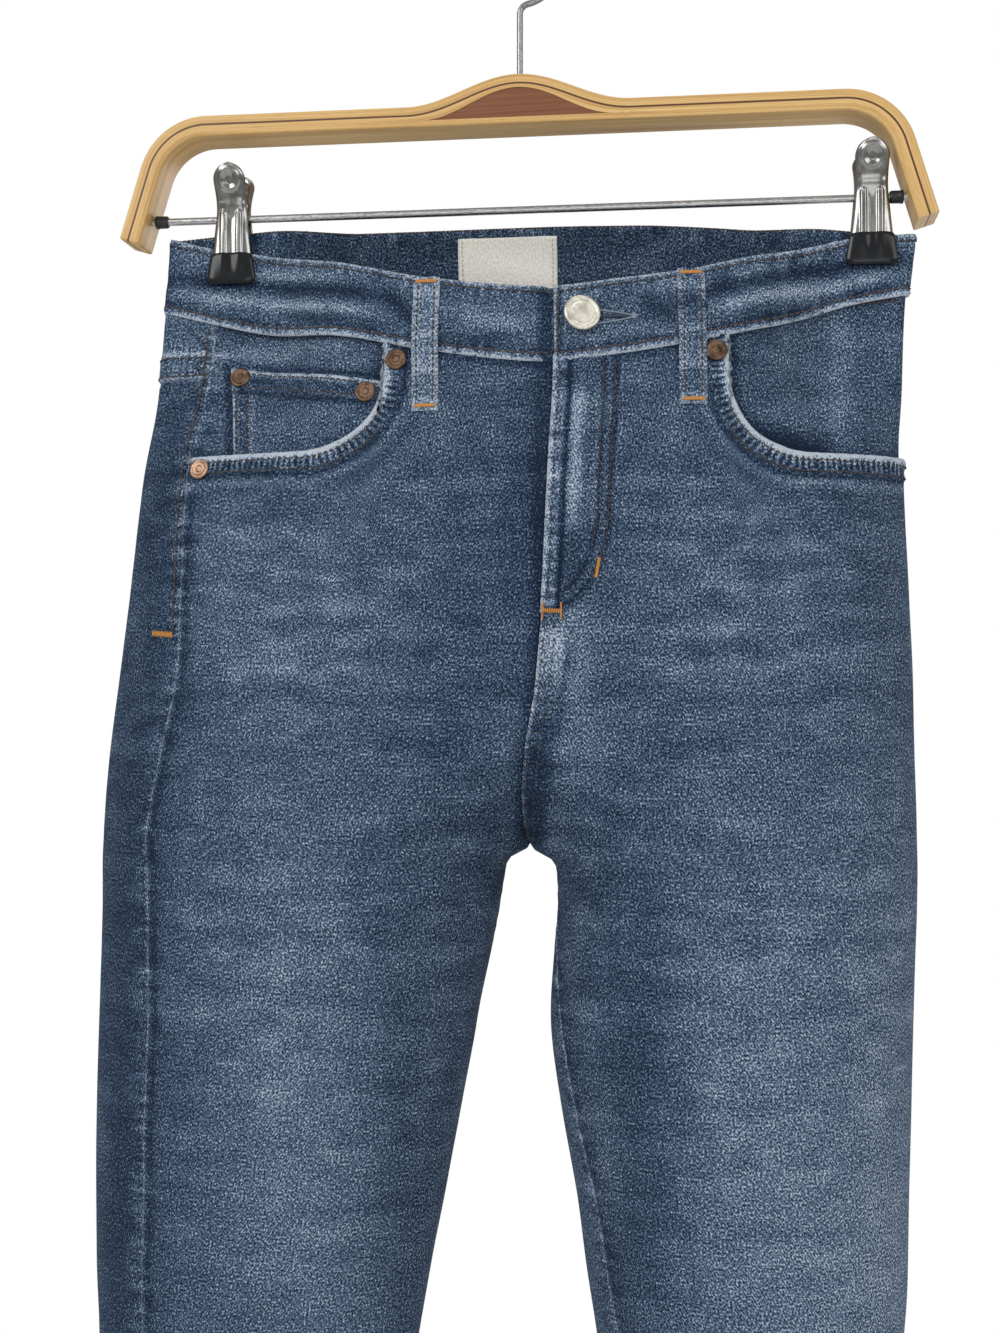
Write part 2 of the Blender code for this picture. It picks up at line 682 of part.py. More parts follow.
def back_pocket(name, grid, material):
    """A patch pocket with a pointed lower edge, laid out from the centre back seam."""
    near, far = POCKET_FROM_SEAM, POCKET_FROM_SEAM + POCKET_WIDTH_TOP
    taper = 0.5 * (POCKET_WIDTH_TOP - POCKET_WIDTH_LOW)
    low = POCKET_TOP_Z - POCKET_HEIGHT
    middle = (0.5 * (near + far), low - POCKET_POINT)
    corners = [
        (near, POCKET_TOP_Z), (near + taper, low), middle, (far - taper, low),
        (far, POCKET_TOP_Z + POCKET_SLOPE),
    ]
    edges = [(corners[i], corners[(i + 1) % 5]) for i in range(5)]
    outs = (POCKET_SEAT + TRIM_CLOTH, POCKET_SEAT)
    return patch(name, grid, laid_flat(grid, True), edges, outs, material)


def label(material):
    columns, rows = 4, 2
    depth = BAND_PROUD - BAND_CLOTH - TRIM_GAP

    def place(i, j):
        x = lerp(LABEL["left"], LABEL["right"], i / columns)
        z = lerp(LABEL["top"], LABEL["bottom"], j / rows)
        return on_face(x, z, -1, depth), on_face(x, z, -1, depth - LABEL["cloth"])

    return shell("label", columns, rows, place, material)


def seat_matrix(point, out):
    """Places +Z along out at a point."""
    return Matrix.Translation(point) @ out.to_track_quat("Z", "Y").to_matrix().to_4x4()


def button(material):
    side, turn = turn_at(BUTTON["x"], BUTTON["z"], 1)
    seat = moved(BUTTON["z"], side, turn, BAND_PROUD + GAP + 0.2)
    r, h = BUTTON["radius"], BUTTON["height"]
    profile = (
        (0, 0), (0.45 * r, 0), (0.9 * r, 0.35 * h), (r, 0.55 * h), (r, 0.75 * h),
        (0.93 * r, h), (0.78 * r, h), (0.7 * r, 0.82 * h), (0, 0.86 * h),
    )
    turned("button", profile, material, seat_matrix(seat, outward(BUTTON["z"], side, turn)), 24)


def rivets(material, worn):
    """Name, side, turn or x, height, and how far its seat stands out from the panel surface."""
    panel = 0.0
    coin = -COIN_DEPTH
    corner = -RIVET_SEAT  # the panels' facets lie this far in, by the outer fold
    left_corner = (-1, turn_at(-150.0, -260.5, 1)[1])
    right_corner = (1, math.radians(-8.0))
    places = (
        ("rivet_1", turn_at(-54.0, -215.0, 1), -215.0, panel, material),
        ("rivet_2", turn_at(-135.5, -216.5, 1), -216.5, coin, material),
        ("rivet_3", turn_at(-68.5, -229.5, 1), -229.5, coin, material),
        ("rivet_4", left_corner, -263.5, corner, worn),
        ("rivet_5", turn_at(93.5, -214.0, 1), -214.0, panel, material),
        ("rivet_6", right_corner, -268.0, corner, material),
    )
    r, h = RIVET_RADIUS, RIVET_HEIGHT
    profile = (
        (0, 0), (r, 0), (r, 0.45 * h), (0.85 * r, 0.9 * h), (0.3 * r, 0.8 * h), (0.2 * r, h), (0, h),
    )
    for name, (side, turn), z, seat, finish_used in places:
        at = moved(z, side, turn, seat + RIVET_SEAT)
        turned(name, profile, finish_used, seat_matrix(at, outward(z, side, turn)), 14)


# Hanger -------------------------------------------------------------------------------------------


def bar_edge(radius, extra):
    """Half of the bar's outer or inner edge from the bend's start to the arm's end."""
    centre_z = BAR_TOP_Z - BAR_BEND_RADIUS
    edge = []
    for step in range(9):
        angle = lerp(0.5 * math.pi, BAR_SPLAY, step / 8)
        edge.append((BAR_BEND_X + radius * math.cos(angle), centre_z + radius * math.sin(angle)))
    x, z = edge[-1]
    edge.append((x + extra * math.sin(BAR_SPLAY), z - extra * math.cos(BAR_SPLAY)))
    return edge


def hump_top(x):
    return BAR_TOP_Z + HUMP_RISE * 0.5 * (1 + math.cos(math.pi * min(abs(x) / HUMP_HALF, 1.0)))


def both_sides(half):
    """Mirror a half outline that starts on the centre line."""
    return [(-x, z) for x, z in reversed(half) if x > 0] + list(half)


def lens_height(x):
    """Height of the opening under the hump."""
    full = hump_top(0) - HUMP_PLY - LENS_LOW_Z
    return full * 0.5 * (1 + math.cos(math.pi * x / INFILL_HALF))


def outline_solid(name, outlines, depth, material):
    """A plate in the XZ plane from closed (x, z) outlines, the first the outside."""
    curve = bpy.data.curves.new(name, "CURVE")
    curve.dimensions = "2D"
    curve.fill_mode = "BOTH"
    curve.extrude = 0.5 * depth * MM
    for outline in outlines:
        spline = curve.splines.new("POLY")
        spline.points.add(len(outline) - 1)
        for point, (x, z) in zip(spline.points, outline):
            point.co = (x * MM, z * MM, 0, 1)
        spline.use_cyclic_u = True
    curve.materials.append(material)
    flat = bpy.data.objects.new(name + "_outline", curve)
    bpy.context.scene.collection.objects.link(flat)
    evaluated = flat.evaluated_get(bpy.context.evaluated_depsgraph_get())
    mesh = bpy.data.meshes.new_from_object(evaluated)
    bpy.data.objects.remove(flat)
    bm = bmesh.new()
    bm.from_mesh(mesh)
    bmesh.ops.remove_doubles(bm, verts=bm.verts, dist=0.00001)
    bmesh.ops.rotate(bm, cent=(0, 0, 0), matrix=Matrix.Rotation(0.5 * math.pi, 3, "X"), verts=bm.verts)
    bmesh.ops.recalc_face_normals(bm, faces=bm.faces)
    bm.to_mesh(mesh)
    bm.free()
    mesh.shade_smooth()
    mesh.set_sharp_from_angle(angle=math.radians(30))
    made = bpy.data.objects.new(name, mesh)
    PIECES.objects.link(made)
    return made


def round_edges(piece, width):
    modifier = piece.modifiers.new("edges", "BEVEL")
    modifier.width = width * MM
    modifier.segments = 2
    modifier.limit_method = "ANGLE"
    modifier.angle_limit = math.radians(60)


def rod_and_shank_holes():
    bm = bmesh.new()
    radius = HOOK_WIRE + GAP
    made = bmesh.ops.create_cone(
        bm, cap_ends=True, segments=16, radius1=radius, radius2=radius, depth=2 * (SHANK_SEAT + GAP),
    )
    bmesh.ops.translate(bm, vec=(0, 0, hump_top(0)), verts=made["verts"])
    radius = ROD_RADIUS + GAP
    onto_side = Matrix.Rotation(0.5 * math.pi, 3, "Y")
    for side in (-1, 1):
        made = bmesh.ops.create_cone(
            bm, cap_ends=True, segments=16, radius1=radius, radius2=radius, depth=ROD_HOLE,
        )
        bmesh.ops.rotate(bm, cent=(0, 0, 0), matrix=onto_side, verts=made["verts"])
        middle = side * (ROD_HALF + GAP - 0.5 * ROD_HOLE)
        bmesh.ops.translate(bm, vec=(middle, 0, ROD_Z), verts=made["verts"])
    return cutter_from("rod_and_shank_holes", bm)


def hanger_bar(material):
    hump = [(HUMP_HALF * i / 8, hump_top(HUMP_HALF * i / 8)) for i in range(9)]
    top = hump + bar_edge(BAR_BEND_RADIUS, BAR_ARM)
    under = [(0.0, BAR_TOP_Z - BAR_THICK)] + bar_edge(BAR_BEND_RADIUS - BAR_THICK, BAR_ARM)
    outside = both_sides(top) + list(reversed(both_sides(under)))
    lens = [(INFILL_HALF * i / 12, LENS_LOW_Z + lens_height(INFILL_HALF * i / 12)) for i in range(12)]
    hole = both_sides(lens + [(INFILL_HALF, LENS_LOW_Z + 0.05)]) + [(0.0, LENS_LOW_Z)]
    bar = outline_solid("hanger_bar", [outside, hole], BAR_DEPTH, material)
    round_edges(bar, BAR_EDGE)
    cut(bar, rod_and_shank_holes())


def hanger_infill(material):
    low = LENS_LOW_Z + GAP
    tops = [(INFILL_REACH * i / 12, lens_height(INFILL_REACH * i / 12) - 1.2 * GAP) for i in range(13)]
    lens = [(x, LENS_LOW_Z + height) for x, height in tops]
    outline = both_sides(lens) + [(INFILL_REACH, low), (-INFILL_REACH, low)]
    outline_solid("hanger_infill", [outline], BAR_DEPTH - 1.0, material)


def wire(name, points, radius, material, resolution):
    """A round bar along a line of points."""
    curve = bpy.data.curves.new(name, "CURVE")
    curve.dimensions = "3D"
    curve.bevel_depth = radius * MM
    curve.bevel_resolution = resolution
    curve.use_fill_caps = True
    spline = curve.splines.new("POLY")
    spline.points.add(len(points) - 1)
    for point, place in zip(spline.points, points):
        point.co = (place[0] * MM, place[1] * MM, place[2] * MM, 1)
    curve.materials.append(material)
    made = bpy.data.objects.new(name, curve)
    PIECES.objects.link(made)
    return made


def hook(material):
    """A question-mark hook: a straight shank, a sharp bend to the side and an open loop."""
    centre_z = HOOK_WIRE - HOOK_RADIUS
    lean = math.radians(HOOK_BEND)
    bend = HOOK_RADIUS * math.cos(lean) / (1 - math.cos(lean))
    foot = centre_z - HOOK_RADIUS * math.sin(lean) - bend * math.sin(lean)
    points = [(0, 0, hump_top(0) - SHANK_SEAT)]
    for step in range(6):
        angle = lean * step / 5
        points.append((bend * (1 - math.cos(angle)), 0, foot + bend * math.sin(angle)))
    for step in range(1, 27):
        angle = lerp(-lean, math.radians(184), step / 26)
        points.append((HOOK_RADIUS * math.cos(angle), 0, centre_z + HOOK_RADIUS * math.sin(angle)))
    wire("hanger_hook", points, HOOK_WIRE, material, 2)


def cross_rod(steel, rubber):
    wire("hanger_rod", [(-ROD_HALF, 0, ROD_Z), (ROD_HALF, 0, ROD_Z)], ROD_RADIUS, steel, 3)
    for side, word in ((-1, "left"), (1, "right")):
        ends = sorted((side * CAP_END, side * (CAP_END - CAP_LENGTH)))
        ring("rod_cap_" + word, ROD_RADIUS + GAP, CAP_RADIUS, ends[0], ends[1], ROD_Z, rubber)


def leaf_half_width(z):
    """Half width of a clip leaf, round at its top end."""
    top = LEAF_PROFILE[0][0]
    radius = LEAF_WIDTHS[-1][1]
    if z > top - radius:
        rise = z - (top - radius)
        return max(math.sqrt(max(radius * radius - rise * rise, 0.0)), 2.0)
    for (low_z, low_w), (high_z, high_w) in zip(LEAF_WIDTHS, LEAF_WIDTHS[1:]):
        if z <= high_z:
            return lerp(low_w, high_w, (z - low_z) / (high_z - low_z))
    return radius


def clip_leaf(name, side, face, material):
    """One pressed leaf of a clip. face is 1 in front of the cloth and -1 behind it."""
    columns, rows = 4, 11
    top, low = LEAF_PROFILE[0][0], LEAF_PROFILE[-1][0]

    def place(i, j):
        z = lerp(top, low, (j / rows) ** 1.25)
        x = CLIP_X[side] + leaf_half_width(z) * (2 * i / columns - 1)
        y = LEAF_Y(z) - 0.5 * (1 - abs(2 * i / columns - 1))
        return Vector((x, face * y, z)), Vector((x, face * (y + LEAF_SHEET), z))

    return shell(name, columns, rows, place, material)


def clip_jaw(name, side, face, material):
    bm = bmesh.new()
    bmesh.ops.create_cube(bm, size=1.0)
    bmesh.ops.bevel(
        bm, geom=bm.edges[:], offset=0.12, segments=2, profile=0.5, affect="EDGES", material=-1,
    )
    height = JAW["top"] - JAW["bottom"]
    inner_y = FOLD_TOP + BAND_PROUD + GAP
    for vert in bm.verts:
        x, y, z = vert.co
        width = JAW["width"] * lerp(1.0, 0.86, z + 0.5)
        out = inner_y + JAW["thick"] * (0.5 - y)
        vert.co = (CLIP_X[side] + width * x, -face * out, JAW["bottom"] + height * (z + 0.5))
    return link_mesh(name, bm, material)


def clips(steel, vinyl):
    for side, word in ((-1, "left"), (1, "right")):
        for face, where in ((1, "front"), (-1, "back")):
            clip_leaf(f"clip_{where}_{word}", side, face, steel)
            clip_jaw(f"clip_jaw_{where}_{word}", side, face, vinyl)
        ring(
            "clip_spring_" + word, ROD_RADIUS + GAP, SLEEVE_RADIUS,
            CLIP_X[side] - SLEEVE_HALF, CLIP_X[side] + SLEEVE_HALF, ROD_Z, steel,
        )


# Build --------------------------------------------------------------------------------------------

clear_scene()
PIECES = new_collection("skinny_jeans_on_hanger")
CUTTERS = new_collection("cutters")

denim = finish("denim", (0.062, 0.101, 0.165), 0.9)
denim_facing = finish("denim_facing", (0.07, 0.11, 0.17), 0.9)
woven_label = finish("woven_label", (0.62, 0.60, 0.53), 0.85)
button_metal = finish("button_metal", (0.60, 0.58, 0.50), 0.4, 1.0)
rivet_metal = finish("rivet_metal", (0.16, 0.10, 0.065), 0.45, 1.0)
rivet_worn = finish("rivet_worn", (0.42, 0.24, 0.15), 0.4, 1.0)
maple = finish("maple", (0.80, 0.60, 0.34), 0.45)
mahogany = finish("mahogany", (0.26, 0.10, 0.035), 0.45)
hook_steel = finish("hook_steel", (0.30, 0.30, 0.31), 0.35, 1.0)
clip_steel = finish("clip_steel", (0.66, 0.65, 0.63), 0.18, 1.0)
black_vinyl = finish("black_vinyl", (0.012, 0.013, 0.014), 0.25)
cap_rubber = finish("cap_rubber", (0.014, 0.014, 0.014), 0.5)

for leg_side, leg_word in ((-1, "left"), (1, "right")):
    front_grid = leg_grid(leg_side, True)
    back_grid = leg_grid(leg_side, False)
    front_leg = leg_panel("front_" + leg_word, front_grid, denim)
    cut(front_leg, prism("scoop_" + leg_word, scoop_outline(leg_side), -CUT_DEPTH, CUT_DEPTH))
    if leg_side > 0:
        cut(front_leg, prism("fly_opening", fly_outline(), -CUT_DEPTH, 0.0))
    else:
        coin_pocket(front_grid, denim)
    facing("facing_" + leg_word, leg_side, front_grid, denim_facing)
    leg_panel("back_" + leg_word, back_grid, denim)
    yoke("yoke_" + leg_word, leg_side, denim)
    back_pocket("back_pocket_" + leg_word, back_grid, denim)
waistband(denim)
fly(denim)
for loop_name, loop_face, loop_x in LOOPS:
    belt_loop(loop_name, loop_face, loop_x, denim)
label(woven_label)
button(button_metal)
rivets(rivet_metal, rivet_worn)

hanger_bar(maple)
hanger_infill(mahogany)
hook(hook_steel)
cross_rod(clip_steel, cap_rubber)
clips(clip_steel, black_vinyl)
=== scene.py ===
import math

import bmesh
import bpy
import numpy as np
from mathutils import Matrix, Vector


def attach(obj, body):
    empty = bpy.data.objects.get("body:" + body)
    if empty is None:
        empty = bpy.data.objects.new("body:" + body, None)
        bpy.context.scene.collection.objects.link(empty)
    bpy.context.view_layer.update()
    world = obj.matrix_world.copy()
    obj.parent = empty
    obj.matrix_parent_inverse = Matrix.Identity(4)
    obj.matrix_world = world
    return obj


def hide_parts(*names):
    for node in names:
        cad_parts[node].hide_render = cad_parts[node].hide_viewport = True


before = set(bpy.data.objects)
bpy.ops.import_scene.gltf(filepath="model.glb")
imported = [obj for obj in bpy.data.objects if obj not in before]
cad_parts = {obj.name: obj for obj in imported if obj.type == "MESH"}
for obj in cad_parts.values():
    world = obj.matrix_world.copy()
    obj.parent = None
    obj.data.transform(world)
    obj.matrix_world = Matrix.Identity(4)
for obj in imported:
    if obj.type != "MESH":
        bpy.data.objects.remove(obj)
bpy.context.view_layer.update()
mm = 0.001
# The cloth's form, in millimetres. The front faces -Y and the viewer's left is -X.

crotch = -442.0
hem = -1144.0
# Heights of the waist seam, the band's middle and the yoke's ends, and how far panels tuck under the band.
waistSeam, bandMiddle, yokeSeam, tucked = -215.0, -185.0, -228.0, 2.6
words = {-1: "Left", 1: "Right"}
faceWords = {1: "Front", -1: "Back"}

sectionNames = (
    "z", "left", "right", "frontCentre", "backCentre", "spread", "parted", "front", "back",
    "leftTurn", "rightTurn", "inseamTurn",
)
sectionRows = (
    (-125, -172.0, 187.5, 18.5, -4, 0.00, 0, 18, 22, 30, -10, 0),
    (-150, -173.0, 186.5, 18.5, -6, 0.00, 0, 20, 24, 30, -10, 0),
    (-185, -176.0, 182.5, 19.0, -14, 0.00, 0, 29, 32, 30, -10, 0),
    (-225, -179.2, 181.0, 20.0, -18, 0.00, 0, 39, 44, 30, -11, 0),
    (-265, -186.3, 180.3, 18.5, -23, 0.02, 0, 48, 60, 31, -12, 0),
    (-325, -193.0, 182.5, 16.3, -27, 0.10, 0, 56, 77, 35, -13, 0),
    (-364, -197.6, 184.2, 13.5, -23, 0.27, 0, 60, 82, 40, -15, 0),
    (-400, -201.5, 184.8, 7.5, -13, 0.54, 0, 62, 80, 43, -17, 0),
    (-422, -203.0, 185.3, 5.5, -1, 0.79, 0, 62, 76, 45, -19, 0),
    (-442, -203.8, 185.5, 5.2, 5.2, 1.00, 0, 62, 72, 47, -20, 0),
    (-450, -204.2, 185.6, 5.3, 5.3, 1.015, 11.7, 61, 71, 48, -20, 0),
    (-470, -204.2, 185.2, 4.2, 4.2, 1.05, 14.0, 61, 68, 49, -21, 5),
    (-488, -204.7, 184.5, 1.8, 1.8, 1.08, 15.0, 60, 66, 50, -21, 13),
    (-527, -206.2, 183.3, -2.8, -2.8, 1.15, 18.0, 56, 61, 52, -22, 25),
    (-565, -207.2, 182.2, -3.7, -3.7, 1.23, 24.0, 53, 57, 52, -23, 29),
    (-604, -207.7, 181.0, -4.1, -4.1, 1.34, 31.2, 49, 53, 53, -24, 33),
    (-643, -207.5, 180.4, -5.5, -5.5, 1.45, 37.6, 45, 49, 53, -24, 35),
    (-678, -206.0, 178.2, -5.8, -5.8, 1.553, 43.2, 42, 46, 53, -24, 37),
    (-785, -204.0, 175.5, -8.0, -8.0, 1.80, 56.0, 38, 42, 50, -23, 35),
    (-900, -202.0, 172.5, -9.5, -9.5, 2.00, 64.0, 36, 42, 45, -21, 32),
    (-1000, -200.0, 170.0, -10.5, -10.5, 2.17, 70.0, 31, 37, 40, -19, 30),
    (-1160, -198.5, 168.0, -10.5, -10.5, 2.31, 75.0, 26, 29, 35, -17, 28),
)
# x, then the heights of the waistband's top and bottom edges, in front and behind
bandRows = {
    1: (
        (-176, -146, -183), (-152, -152, -189), (-126, -156, -195), (-75, -167, -203),
        (-39, -175, -211), (18, -181, -218), (49, -178, -215), (81, -174, -210),
        (117, -166, -202), (155, -156.5, -189), (184, -155, -184),
    ),
    -1: (
        (-176, -146, -183), (-134, -143, -181), (-87, -140, -178), (-3, -139, -177),
        (46, -140, -178), (85, -143, -181), (153, -152, -184.5), (184, -155, -184),
    ),
}
clipX = {-1: -141.5, 1: 166.0}
scoops = {
    -1: {"edge": -60.0, "low": -257.5, "rx": 38.0, "rz": 34.0},
    1: {"edge": 99.5, "low": -261.5, "rx": 34.0, "rz": 38.0},
}


def smoothCurve(keys, values):
    """A curve through the values that never overshoots them. It takes arrays."""
    order = np.argsort(keys)
    keys, values = np.asarray(keys, float)[order], np.asarray(values, float)[order]
    steps = np.diff(values) / np.diff(keys)
    product = steps[:-1] * steps[1:]
    total = np.where(steps[:-1] + steps[1:] == 0, 1, steps[:-1] + steps[1:])
    slopes = np.concatenate(([steps[0]], np.where(product > 0, 2 * product / total, 0), [steps[-1]]))

    def at(key):
        key = np.clip(np.asarray(key, float), keys[0], keys[-1])
        i = np.clip(np.searchsorted(keys, key, "right") - 1, 0, len(keys) - 2)
        width = keys[i + 1] - keys[i]
        t = (key - keys[i]) / width
        ends = values[i] * (1 + 2 * t) * (1 - t) ** 2 + values[i + 1] * t * t * (3 - 2 * t)
        return ends + width * (slopes[i] * t * (1 - t) ** 2 + slopes[i + 1] * t * t * (t - 1))

    return at


section = {
    name: smoothCurve([row[0] for row in sectionRows], [row[i] for row in sectionRows])
    for i, name in enumerate(sectionNames)
}
band = {
    face: [smoothCurve([row[0] for row in rows], [row[i] for row in rows]) for i in (1, 2)]
    for face, rows in bandRows.items()
}


def ease(value, start, end):
    t = np.clip((np.asarray(value, float) - start) / (end - start), 0, 1)
    return t * t * (3 - 2 * t)


def lerp(start, end, t):
    return start + (end - start) * t


def bump(value, centre, width):
    return np.exp(-(((np.asarray(value, float) - centre) / width) ** 2))


def halfLoop(z, side, front):
    centre = np.where(front, section["frontCentre"](z), section["backCentre"](z))
    outer = section["right" if side > 0 else "left"](z)
    return centre, np.abs(outer - centre) / (1 + section["spread"](z))


formLook = {"thigh": 0.17, "held": (172, 275), "pinch": (13, 61), "rim": (1.9, 4.5), "rimFade": (172, 196)}


def baseSurface(side, z, turn):
    """The smooth form: a front and a back half loop on each side, pressed flat where the clips hold."""
    look = formLook
    z, turn = np.broadcast_arrays(np.asarray(z, float), np.asarray(turn, float))
    front = np.sin(turn) >= 0
    centre, half = halfLoop(z, side, front)
    spread = section["spread"](z)
    pulled = np.where(spread >= 1, np.maximum(section["parted"](z) - (spread - 1) * half, 0), 0)
    x = centre + side * (half * (spread + np.cos(turn)) + pulled * (0.5 - 0.5 * np.cos(turn)) ** 4)
    depth = np.where(front, section["front"](z), section["back"](z))
    if side > 0:
        depth = depth * (1 + look["thigh"] * ease(-z, -crotch, -crotch + 100))
    near = np.minimum(np.abs(x - clipX[-1]), np.abs(x - clipX[1]))
    pinch = (1 - ease(-z, *look["held"])) * (1 - ease(near, *look["pinch"]))
    swell = depth * np.abs(np.sin(turn)) * (1 - pinch)
    radius = lerp(*look["rim"], ease(-z, *look["rimFade"]))
    inset = np.minimum(half * (1 - np.abs(np.cos(turn))), radius)
    y = np.hypot(swell, np.sqrt(np.maximum(2 * radius * inset - inset**2, 0)))
    return np.stack([x, np.where(front, -y, y), z], -1)


def unit(v):
    return v / np.maximum(np.linalg.norm(v, axis=-1, keepdims=True), 1e-9)


def normals(form, side, z, turn, dz=0.6, dt=0.004):
    across = form(side, z, turn + dt) - form(side, z, turn - dt)
    up = form(side, z + dz, turn) - form(side, z - dz, turn)
    return unit(np.cross(up, across) * side)


# Soft folds by face: start (x, z), end (x, z), sag in the middle, half width, height.
foldRows = {
    1: (
        ((-168, -292), (-38, -306), -6, 5.0, 0.55),
        ((-172, -309), (-30, -322), -7, 4.5, -0.45),
        ((-165, -326), (-48, -338), -6, 5.5, 0.55),
        ((-172, -346), (-44, -351), -5, 5.0, -0.4),
        ((-160, -362), (-60, -366), -4, 6.0, 0.45),
        ((62, -298), (176, -283), -6, 5.0, 0.5),
        ((58, -314), (178, -302), -6, 4.5, -0.4),
        ((50, -331), (176, -319), -6, 5.5, 0.5),
        ((52, -350), (172, -342), -5, 5.0, -0.4),
        ((60, -366), (165, -361), -4, 6.0, 0.4),
        ((14, -352), (-26, -398), 3, 4.5, -1.1),
        ((12, -372), (-14, -420), 2, 4.0, 1.0),
        ((17, -345), (36, -392), -3, 5.0, 0.9),
        ((9, -400), (40, -424), -3, 5.0, -0.8),
        ((-6, -428), (-70, -446), 4, 7.0, -0.8),
        ((20, -430), (74, -446), -4, 7.0, -0.8),
        ((-10, -452), (-60, -500), 5, 8.0, -0.9),
        ((22, -452), (60, -505), -5, 8.0, -0.9),
        ((-100, -262), (-128, -288), 0, 6.0, 0.5),
        ((-150, -640), (-90, -652), 3, 9.0, 0.7),
        ((60, -668), (140, -655), 3, 9.0, 0.7),
        ((-160, -790), (-85, -775), 3, 8.0, -0.9),
        ((70, -800), (150, -785), 3, 8.0, -0.9),
        ((-165, -815), (-88, -806), 3, 7.0, 0.9),
        ((72, -826), (150, -812), 3, 7.0, 0.9),
        ((-170, -1085), (-100, -1078), 2, 6.0, -0.7),
        ((85, -1092), (150, -1084), 2, 6.0, -0.7),
    ),
    -1: (
        ((-160, -400), (-20, -428), -10, 9.0, -1.6),
        ((20, -428), (150, -402), -10, 9.0, -1.6),
        ((-150, -430), (-22, -452), -8, 8.0, 1.3),
        ((24, -452), (148, -432), -8, 8.0, 1.3),
        ((-165, -468), (-40, -482), -6, 9.0, -1.2),
        ((40, -482), (150, -466), -6, 9.0, -1.2),
        ((-60, -262), (-28, -330), 2, 8.0, -0.9),
        ((10, -332), (46, -262), 2, 8.0, -0.9),
        ((-170, -712), (-90, -726), 5, 8.0, -1.5),
        ((60, -724), (150, -710), 5, 8.0, -1.5),
        ((-168, -742), (-92, -750), 4, 8.0, 1.2),
        ((62, -750), (150, -738), 4, 8.0, 1.2),
        ((-168, -770), (-90, -764), 3, 7.0, -1.1),
        ((66, -776), (150, -766), 3, 7.0, -1.1),
    ),
}


def crease(x, z, start, end, sag):
    """Share along a line from start to end and distance off it. The line sags in its middle."""
    (x0, z0), (x1, z1) = start, end
    length = math.hypot(x1 - x0, z1 - z0)
    ux, uz = (x1 - x0) / length, (z1 - z0) / length
    along = ((x - x0) * ux + (z - z0) * uz) / length
    return along, (z - z0) * ux - (x - x0) * uz - sag * 4 * along * (1 - along)


def creaseHeight(rows, x, z, fadeIn=(-0.12, 0.3), fadeOut=(0.7, 1.12)):
    total = np.zeros_like(x)
    for start, end, sag, width, height in rows:
        along, off = crease(x, z, start, end, sag)
        total += height * ease(along, *fadeIn) * (1 - ease(along, *fadeOut)) * bump(off, 0, width)
    return total


def ripple(x, z, seed):
    """Slow unevenness, from -1 to 1."""
    a = np.sin(x * 0.041 + seed) * np.sin(z * 0.023 + 1.7 * seed)
    b = np.sin(x * 0.017 - z * 0.031 + 2.3 * seed) * np.sin(x * 0.063 + z * 0.011 + seed)
    return 0.5 * (a + b)


def surface(side, z, turn):
    """The cloth's outer face with its folds."""
    turn = np.asarray(turn, float)
    point = baseSurface(side, z, turn)
    x, height = point[..., 0], point[..., 2]
    front = np.sin(turn) >= 0
    lift = np.where(front, creaseHeight(foldRows[1], x, height), creaseHeight(foldRows[-1], x, height))
    lift = lift * ease(np.abs(np.sin(turn)), 0.12, 0.4)
    lift = lift + 0.45 * ripple(x, height, 1.3 if side > 0 else 2.9) * ease(-height, 215, 300)
    return point + normals(baseSurface, side, z, turn) * lift[..., None]


def cloth(side, z, turn, out=0.0):
    """Points of the folded cloth moved out, and their normals."""
    point, normal = surface(side, z, turn), normals(surface, side, z, turn)
    return point + normal * np.asarray(out, float)[..., None], normal


def faceTurn(side, face, x, z):
    centre, half = halfLoop(z, side, face > 0)
    return face * np.arccos(np.clip(side * (x - centre) / half - section["spread"](z), -1, 1))


def turnAt(x, z, face):
    """Turns of a face's points at x, z that lie on one side."""
    x, z = np.asarray(x, float), np.asarray(z, float)
    centre, _ = halfLoop(z, 1, face > 0)
    return faceTurn(1 if np.mean(x - centre) >= 0 else -1, face, x, z)


def onFace(x, z, face, out=0.0):
    """Points and normals of the front (1) or the back (-1) at x, z, over both sides."""
    x, z, out = np.broadcast_arrays(np.asarray(x, float), np.asarray(z, float), np.asarray(out, float))
    centre, _ = halfLoop(z, 1, face > 0)
    points, outs = np.empty(x.shape + (3,)), np.empty(x.shape + (3,))
    for side in (-1, 1):
        mine = (x >= centre) if side > 0 else (x < centre)
        if mine.any():
            turn = faceTurn(side, face, x[mine], z[mine])
            points[mine], outs[mine] = cloth(side, z[mine], turn, out[mine])
    return points, outs


def seamTurns(z, side):
    """Turns of the front's inner seam, the side seam and the back's inner seam."""
    z = np.asarray(z, float)
    spread = section["spread"](z)
    centre = np.arccos(np.clip(-spread, -1, 1))
    outer = np.radians(section["leftTurn" if side < 0 else "rightTurn"](z))
    inner = math.pi - side * np.radians(section["inseamTurn"](z))
    return np.where(spread < 1, centre, inner), outer, np.where(spread < 1, -centre, inner - 2 * math.pi)


def panelTurns(z, side, front):
    """Turns of a leg panel's first and last column."""
    inner, outer, backInner = seamTurns(z, side)
    return (inner, outer) if front else (outer, backInner)


def bandLevel(side, turn, edge):
    """Height of the waistband's top (0) or bottom (1) edge."""
    turn = np.asarray(turn, float)
    front = np.sin(turn) >= 0
    centre, half = halfLoop(np.full(turn.shape, bandMiddle), side, front)
    x = centre + side * half * np.cos(turn)
    return np.where(front, band[1][edge](x), band[-1][edge](x))


def yokeLevel(side, turn):
    outer, inner = panelTurns(yokeSeam, side, False)
    share = (turn - inner) / (outer - inner)
    return lerp(-240.0, -217.0 if side < 0 else -215.0, 2.1 * share - 1.1 * share**2)


